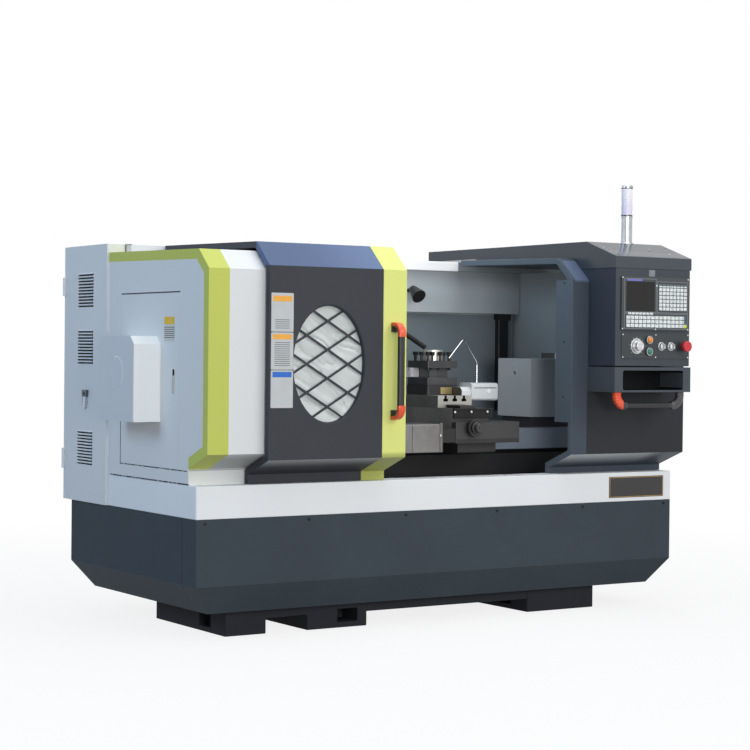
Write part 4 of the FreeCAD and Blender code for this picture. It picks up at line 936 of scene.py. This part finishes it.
def build_key_switches():
    face = box_face()
    for side in ("left", "right"):
        name = "key_switch_" + side
        low, _, middle, _ = node_round(name)
        Form().turned([(14, 0), (18.5, 0), (18.5, 2.5), (16.8, 4.2), (14.6, 4.2), (14, 3.4),
                       (14, 0)], (middle.x, face, middle.z), FRONT, 36).piece(
            name + "_rim", "satin_steel", "right_door")
        Form().block((middle.x - 1.2, low.y - 0.6, middle.z + 2),
                     (middle.x + 1.2, low.y + 0.4, middle.z + 9)).piece(
            name + "_mark", "black_plastic", side + "_key_switch")


def build_push_buttons():
    face = box_face()
    for colour, finish in (("orange", "amber_plastic"), ("green", "green_plastic")):
        name = "button_" + colour
        low, _, middle, r = node_round(name)
        Form().turned(
            [(r + 1, 7.6), (r + 4.4, 7.6), (r + 4.4, 8.4), (r + 3.6, 9.4), (r + 1.8, 9.4),
             (r + 1, 8.6), (r + 1, 7.6)], (middle.x, face, middle.z), FRONT, 36).piece(
            name + "_rim", "satin_steel", "right_door")
        Form().turned([(r - 0.4, 0), (r - 1.2, 1.4), (r * 0.6, 3.0), (0, 3.6)],
                      (middle.x, low.y + 0.4, middle.z), FRONT, 32).piece(
            name + "_dome", finish, colour + "_button")


def build_stop():
    """Domed head of the emergency stop, and the collar behind it."""
    face = box_face()
    low, _, middle, r = node_round("estop_button")
    Form().turned([(r - 1, -13), (r + 0.6, -11), (r + 0.6, -5), (r - 1.6, -2.2),
                   (r * 0.62, -0.6), (0, -0.1)], (middle.x, low.y, middle.z), FRONT, 40).piece(
        "stop_crown", "red_plastic", "emergency_stop")
    Form().turned([(17, 0), (21, 0), (21, 4), (19.6, 5.5), (17, 5.5), (17, 0)],
                  (middle.x, face, middle.z), FRONT, 40).piece(
        "stop_collar", "black_plastic", "right_door")


def build_lamp():
    """Signal lamp: chrome foot, milky ribbed tube, dark seals and chrome cap."""
    low, high, middle, r = node_round("signal_lamp")
    x, y = middle.x, middle.y
    tube_z, tube_top, ribs = high.z - 131, high.z - 15, 9
    stem, span = tube_z - low.z, tube_top - tube_z
    Form().turned(
        [(0, 0), (r + 4, 0), (r + 4, 3), (r + 2.5, 5), (r - 1.5, 6), (r - 1.5, stem - 16),
         (r - 0.5, stem - 14), (r - 0.5, stem - 5), (0, stem - 5)], (x, y, low.z), UP, 40).piece(
        "lamp_foot", "chrome", "right_door", slot="bright_steel")
    seal = Form()
    for z, height in ((tube_z - 5, 5), (tube_top, 3)):
        seal.turned([(0, 0), (r - 1, 0), (r - 1, height), (0, height)], (x, y, z), UP, 40)
    seal.piece("lamp_seal", "black_plastic", "right_door")
    outline = [(0, 0), (r - 2, 0)]
    for i in range(ribs):
        z = span * (i + 0.5) / ribs
        outline += [(r - 2, z - 2.4), (r - 1.5, z - 1), (r - 1.5, z + 1), (r - 2, z + 2.4)]
    outline += [(r - 2, span), (0, span)]
    Form().turned(outline, (x, y, tube_z), UP, 40).piece(
        "lamp_tube", "lamp", "right_door", slot="lamp", stands_for=("signal_lamp",))
    Form().turned([(0, 0), (r, 0), (r, 8), (r - 2, 11), (r - 9, 12), (0, 12)],
                  (x, y, high.z - 12), UP, 40).piece(
        "lamp_cap", "chrome", "right_door", slot="bright_steel")


# ---- screws and plates ----
def build_plates():
    """Bare name plate with a raised rim, tag on the tool post, and marks of the switch box."""
    x0, x1, z0, z1 = 2041, 2354, 488, 581
    plate("name_plate", "nameplate", "machine", (x0, x1, z0, z1), 0.2, 1.6, 3, 0.3)
    Form().border(x0 + 3, x1 - 3, z0 + 2.5, z1 - 2.5, 2.5, -2.0, -1.2).piece(
        "name_plate_rim", "gold_rim", "machine")
    front = node_box("post_base")[0].y
    plate("tool_post_tag", "brass_plate", "cross_slide", (1338, 1399, 942, 970), front + 0.2,
          1.2, 1.5)
    low, high = node_box("switch_box")
    Form().block((low.x + 62, low.y - 0.5, high.z - 23),
                 (high.x - 10, low.y + 0.5, high.z - 20)).piece(
        "switch_box_joint", "black_plastic", "cross_slide")
    Form().turned([(0, 0), (10, 0), (10, 2), (8.5, 3.4), (0, 4)],
                  (low.x + 138, low.y + 0.3, low.z + 40), FRONT, 28).piece(
        "switch_box_plug", "plug_white", "cross_slide")


def build_screws():
    heads = [(40 + 463.4 * i, -0.2, 456) for i in range(6)]
    screw_heads("base_screws", heads, FRONT, 6.5, "dark_steel", "machine")
    wiper = node_box("way_wiper")[0].y
    heads = [(x, wiper, 871) for x in (1266, 1351, 1435)]
    screw_heads("wiper_screws", heads, FRONT, 5.0, "aluminium", "carriage", False)
    side = node_box("door_right")[0].x
    heads = [(side + 0.2, -20, z) for z in (935, 1172, 1426)]
    screw_heads("door_side_screws", heads, LEFT, 4.0, "dark_steel", "right_door")
    low, high = node_box("cable_hood")
    ridge_y, lip_z = -60.0, 1538.0       # the hood's sloping front, from its lip to its ridge
    slope = Vector((0, ridge_y - low.y, high.z - lip_z)).normalized()
    heads = [(x, low.y + slope.y * (z - lip_z) / slope.z, z)
             for x, z in ((1880, 1579), (2128, 1576), (2197, 1557), (2266, 1594))]
    out = Vector((0, -slope.z, slope.y))
    screw_heads("hood_screws", heads, out, 3.6, "satin_steel", "right_door", False)


def build_sill():
    """Sill that joins the two feet below the base's front edge."""
    left, right = node_box("foot_left"), node_box("foot_right")
    front, top = left[0].y + 3, left[1].z
    Form().block((left[1].x - 1, front, top - 40), (right[0].x + 1, front + 40, top + 0.5)).piece(
        "foot_sill", "foot_paint", "machine", 2.0)


def build_slide_details():
    """Bearing hub of the feed screw, screw cover's lid, and the blank in the tool post."""
    low, high = node_box("screw_cap")
    x, z = (low.x + high.x) / 2, (low.z + high.z) / 2
    hub = Form().turned([(0, 0), (26, 0), (26, 5), (22, 8), (20, 26), (17, 29), (0, 29)],
                        (x, low.y + 0.5, z), FRONT, 32)
    hub.turned([(0, 0), (8, 0), (8, 3), (0, 3)], (x, low.y - 28, z), FRONT, 6)
    hub.piece("screw_hub", "cast_grey", "carriage", 0.8)
    low, high = node_box("screw_cover")
    Form().block((1041, low.y - 2.6, low.z + 3), (1171, low.y + 0.3, high.z - 3)).piece(
        "screw_cover_lid", "ground_steel", "carriage", 2.4)
    Form().block((1180, low.y - 3, low.z + 2), (1192, low.y + 0.3, high.z + 5)).piece(
        "screw_cover_end", "slide_steel", "carriage", 1.0)
    Form().turned([(0, 0), (5, 0), (5, 3), (4, 4), (0, 4)], (1180, low.y - 2.5, 774), FRONT,
                  18).piece("screw_cover_bolt", "bright_steel", "carriage", 0.3)
    low, high = node_box("post_head")
    slot_z0, slot_z1, slot_depth, reach = 1013, 1054, 30, 14
    Form().block((low.x - reach, high.y - 46, slot_z0 + 0.4),
                 (low.x + slot_depth - 1, high.y - 6, slot_z1 - 0.4)).piece(
        "tool_blank", "blank_steel", "tool_post", 0.6)
    Form().turned([(0, 0), (3.5, 0), (3.5, 0.6), (0, 0.6)],
                  (low.x - reach + 0.2, high.y - 26, slot_z1 - 7), LEFT, 18).piece(
        "tool_blank_bore", "black_plastic", "tool_post")


# ---- round pieces whose solids have flat sides ----
def build_lines():
    """Coolant hose and pipe as round tubes on the solids' routes."""
    low, high = node_box("post_head")
    centre = (low + high) / 2
    centre.z = node_box("post_base")[0].z
    pipe = [centre + Vector(step) for step in (
        (156, -115.5, 54), (156, -115.5, 145), (41, -177.5, 245), (-61, -212.5, 159))]
    Form().sweep(filleted(pipe, 28), 3.5, 14).piece(
        "coolant_pipe_round", "bright_steel", "cross_slide", slot="bright_steel",
        stands_for=("coolant_pipe",))
    hose = [centre + Vector(step) for step in (
        (-61, -32.5, 205), (-136, 67.5, 285), (-61, 240.5, 261), (-61, 240.5, 0))]
    Form().sweep(filleted(hose, 99, 14), 11, 20).piece(
        "coolant_hose_round", "rubber", "cross_slide", slot="rubber",
        stands_for=("coolant_hose",))


def build_door_handle():
    """Moulded pull handle of the left door: black grip with coloured shells on its corners."""
    low, high = node_box("door_handle")
    x = (low.x + high.x) / 2
    caps_low, caps_high = node_box("door_handle_caps")
    front, reach = high.y, caps_low.y
    half_w, half_t, shell, offset, bend, cover = 14.0, 10.0, 8.0, 5.0, 34.0, 50.0
    y, out = reach + shell + offset, reach + shell
    z0, z1 = caps_low.z + shell + offset, caps_high.z - shell - offset
    grip = Form().sweep(
        filleted([(x, front, z0), (x, y, z0), (x, y, z1), (x, front, z1)], bend, 12),
        half_t, 24, (RIGHT, half_w))
    caps = Form()
    for z, inward in ((z0, 1), (z1, -1)):
        foot, top = sorted((z - inward * 12, z + inward * 26))
        grip.block((x - 15, front - 13, foot), (x + 15, front - 0.2, top))
        edge = z - inward * offset
        caps.sweep(filleted([(x, front - 3, edge), (x, out, edge), (x, out, edge + inward * cover)],
                            bend + offset, 12), shell, 24, (RIGHT, half_w + 2.5))
    grip.piece("door_handle_round", "black_plastic", "left_door", 1.2, slot="black_plastic",
               stands_for=("door_handle",))
    caps.piece("door_handle_corners", "orange_plastic", "left_door", 0.6,
               slot="orange_plastic", stands_for=("door_handle_caps",))


def build_pull_handle():
    """Pull handle under the pocket box: a thin bar between two ribbed bends."""
    low, high = node_box("panel_handle")
    y = (low.y + high.y) / 2
    half_d, half_w, bend, bend_reach, thin = (high.y - low.y) / 2, 19.0, 44, 70, 0.5
    x0, x1, z0 = low.x + half_w, high.x - half_w, low.z + half_w
    route = in_steps(
        filleted([(x0, y, high.z), (x0, y, z0), (x1, y, z0), (x1, y, high.z)], bend, 12), 2.6)
    widths = []
    for i, point in enumerate(route):
        from_end = min(point.x - low.x, high.x - point.x)
        rib = 1.0 if i % 3 else 0.88
        widths.append(rib if from_end < bend_reach else thin)
    Form().sweep(route, half_d, 20, (RIGHT, half_w), widths).piece(
        "panel_handle_round", "handle_plastic", "right_door", slot="black_plastic",
        stands_for=("panel_handle",))


def build_wheel():
    """Handwheel with a round rim, three spokes, hub and turned grip."""
    low, high = node_box("tailstock_handwheel")
    rim_r, spoke_w, spoke_t = 9.0, 8, 9
    centre = Vector((low.x + 31, (low.y + high.y) / 2, (low.z + high.z) / 2))
    middle = (high.y - low.y) / 2 - rim_r
    form = Form()
    rings = []
    for turn in turns(64):
        out = Vector((0, math.cos(turn), math.sin(turn)))
        rings.append(form.ring([
            centre + out * (middle + rim_r * math.cos(a)) + RIGHT * (rim_r * math.sin(a))
            for a in turns(14)]))
    form.skin(rings + [rings[0]])
    foot = centre - RIGHT * (spoke_t / 2)
    for i in range(3):
        turn = math.radians(90 + 120 * i)
        out = Vector((0, math.cos(turn), math.sin(turn)))
        side = Vector((0, -out.z, out.y)) * spoke_w
        form.slab([foot + out * 12 - side, foot + out * 12 + side,
                   foot + out * middle + side * 0.7, foot + out * middle - side * 0.7],
                  (spoke_t, 0, 0))
    body_end = node_box("tailstock_body")[1].x
    form.turned([(0, 0), (20, 0), (20, 30), (17, 35), (0, 35.5)],
                (body_end + 0.5, centre.y, centre.z), RIGHT, 32)
    form.turned([(0, 0), (5, 0), (5, 3), (8.6, 6), (9, 30), (7.5, 52), (5, 57), (0, 57.5)],
                centre + Vector((spoke_t / 2, 0, middle)), RIGHT, 20)
    form.piece("handwheel_round", "black_plastic", "handwheel", slot="bright_steel",
               stands_for=("tailstock_handwheel",))


# ---- light, floor and world ----
def area_light(name, place, target, size, power, colour):
    data = bpy.data.lights.new(name, "AREA")
    data.shape = "RECTANGLE"
    data.size, data.size_y = size
    data.energy = power
    data.color = colour
    light = bpy.data.objects.new(name, data)
    light.location = place
    light.rotation_mode = "QUATERNION"
    light.rotation_quaternion = (Vector(target) - Vector(place)).to_track_quat("-Z", "Y")
    light.visible_camera = False
    bpy.context.scene.collection.objects.link(light)


def empty_tree(owner):
    owner.use_nodes = True
    owner.node_tree.nodes.clear()
    return owner.node_tree


def seen_ray(tree):
    """1 for camera, glossy and transmission rays."""
    path = put(tree, "ShaderNodeLightPath")
    total = calc(tree, "ADD", path.outputs["Is Camera Ray"], path.outputs["Is Glossy Ray"])
    return calc(tree, "MINIMUM", calc(tree, "ADD", total, path.outputs["Is Transmission Ray"]), 1.0)


def make_world():
    """Cool and dim light from the left, plainer from the right, on a white background."""
    world = bpy.data.worlds.new("studio")
    bpy.context.scene.world = world
    tree = empty_tree(world)
    coord = put(tree, "ShaderNodeTexCoord")
    split = put(tree, "ShaderNodeSeparateXYZ", {0: coord.outputs["Generated"]})
    side = spread(tree, split.outputs[0], -1.0, 0.6)
    colour = blend_colour(tree, side, (0.17, 0.24, 0.34, 1), (0.44, 0.46, 0.49, 1))
    ambient = put(tree, "ShaderNodeBackground", {"Color": colour, "Strength": 1.0})
    plain = put(tree, "ShaderNodeBackground", {"Color": (1, 1, 1, 1), "Strength": 1.0})
    mixed = put(tree, "ShaderNodeMixShader", {
        0: seen_ray(tree), 1: ambient.outputs[0], 2: plain.outputs[0]})
    put(tree, "ShaderNodeOutputWorld", {0: mixed.outputs[0]})


def make_floor_material():
    """Matt pale floor that turns white away from the machine and keeps its shadow."""
    material = bpy.data.materials.new("floor")
    tree = empty_tree(material)
    grain = put(tree, "ShaderNodeTexNoise", {"Scale": 6.0, "Detail": 3.0})
    tone = spread(tree, grain.outputs["Fac"], 0.0, 1.0, 0.78, 0.84)
    dull = calc(tree, "MULTIPLY", tone, 0.3)
    shade = blend_colour(tree, seen_ray(tree), dull, tone)
    matt = put(tree, "ShaderNodeBsdfDiffuse", {"Color": shade})
    glow = put(tree, "ShaderNodeEmission", {"Color": (1, 1, 1, 1), "Strength": 1.0})
    coord = put(tree, "ShaderNodeTexCoord")
    away = put(tree, "ShaderNodeVectorMath", {0: coord.outputs["Object"]}, operation="LENGTH")
    far = spread(tree, away.outputs["Value"], 1.6, 5.0, 0.84, 1.0, "SMOOTHSTEP")
    share = calc(tree, "MULTIPLY", seen_ray(tree), far)
    mixed = put(tree, "ShaderNodeMixShader", {0: share, 1: matt.outputs[0], 2: glow.outputs[0]})
    put(tree, "ShaderNodeOutputMaterial", {0: mixed.outputs[0]})
    return material


def make_floor():
    half = 60.0
    mesh = bpy.data.meshes.new("floor")
    mesh.from_pydata([(-half, -half, 0), (half, -half, 0), (half, half, 0), (-half, half, 0)],
                     [], [(0, 1, 2, 3)])
    mesh.materials.append(make_floor_material())
    floor = bpy.data.objects.new("floor", mesh)
    bpy.context.scene.collection.objects.link(floor)


# name, place, target, size, power, colour
LIGHTS = (
    ("key", (2.6, -7.0, 4.4), (0.1, 0, 0.9), (5.0, 3.5), 175, (1.0, 0.98, 0.94)),
    ("fill", (-2.2, -8.0, 1.5), (0.3, 0, 0.8), (3.0, 2.2), 205, (1.0, 0.99, 0.97)),
    ("left", (-6.0, 0.3, 3.6), (-1.1, 0.2, 0.8), (3.5, 2.5), 100, (0.56, 0.76, 1.0)),
    ("inside", at(1180, 520, 1430), at(1480, 800, 1340), (0.3, 0.3), 0.65, (1.0, 1.0, 0.97)),
    ("top", (0.5, -0.8, 6.0), (0, 0.2, 1.0), (5.0, 4.0), 145, (0.95, 0.97, 1.0)),
    ("rear", (2.5, 6.0, 3.5), (0, 0, 1.0), (4.0, 3.0), 110, (1.0, 0.98, 0.96)),
)


make_camera()
for make in (make_white_paints, make_dark_paints, make_metals, make_plastics,
             make_plate_finishes, dress_nodes, build_left_end, build_notices, build_film,
             build_control_unit, build_panel_trim, build_selector, build_key_switches,
             build_push_buttons, build_stop, build_lamp, build_plates, build_screws,
             build_slide_details, build_sill, build_lines, build_door_handle, build_pull_handle,
             build_wheel, make_world, make_floor):
    make()
for light in LIGHTS:
    area_light(*light)
bpy.context.scene.view_settings.view_transform = "Standard"
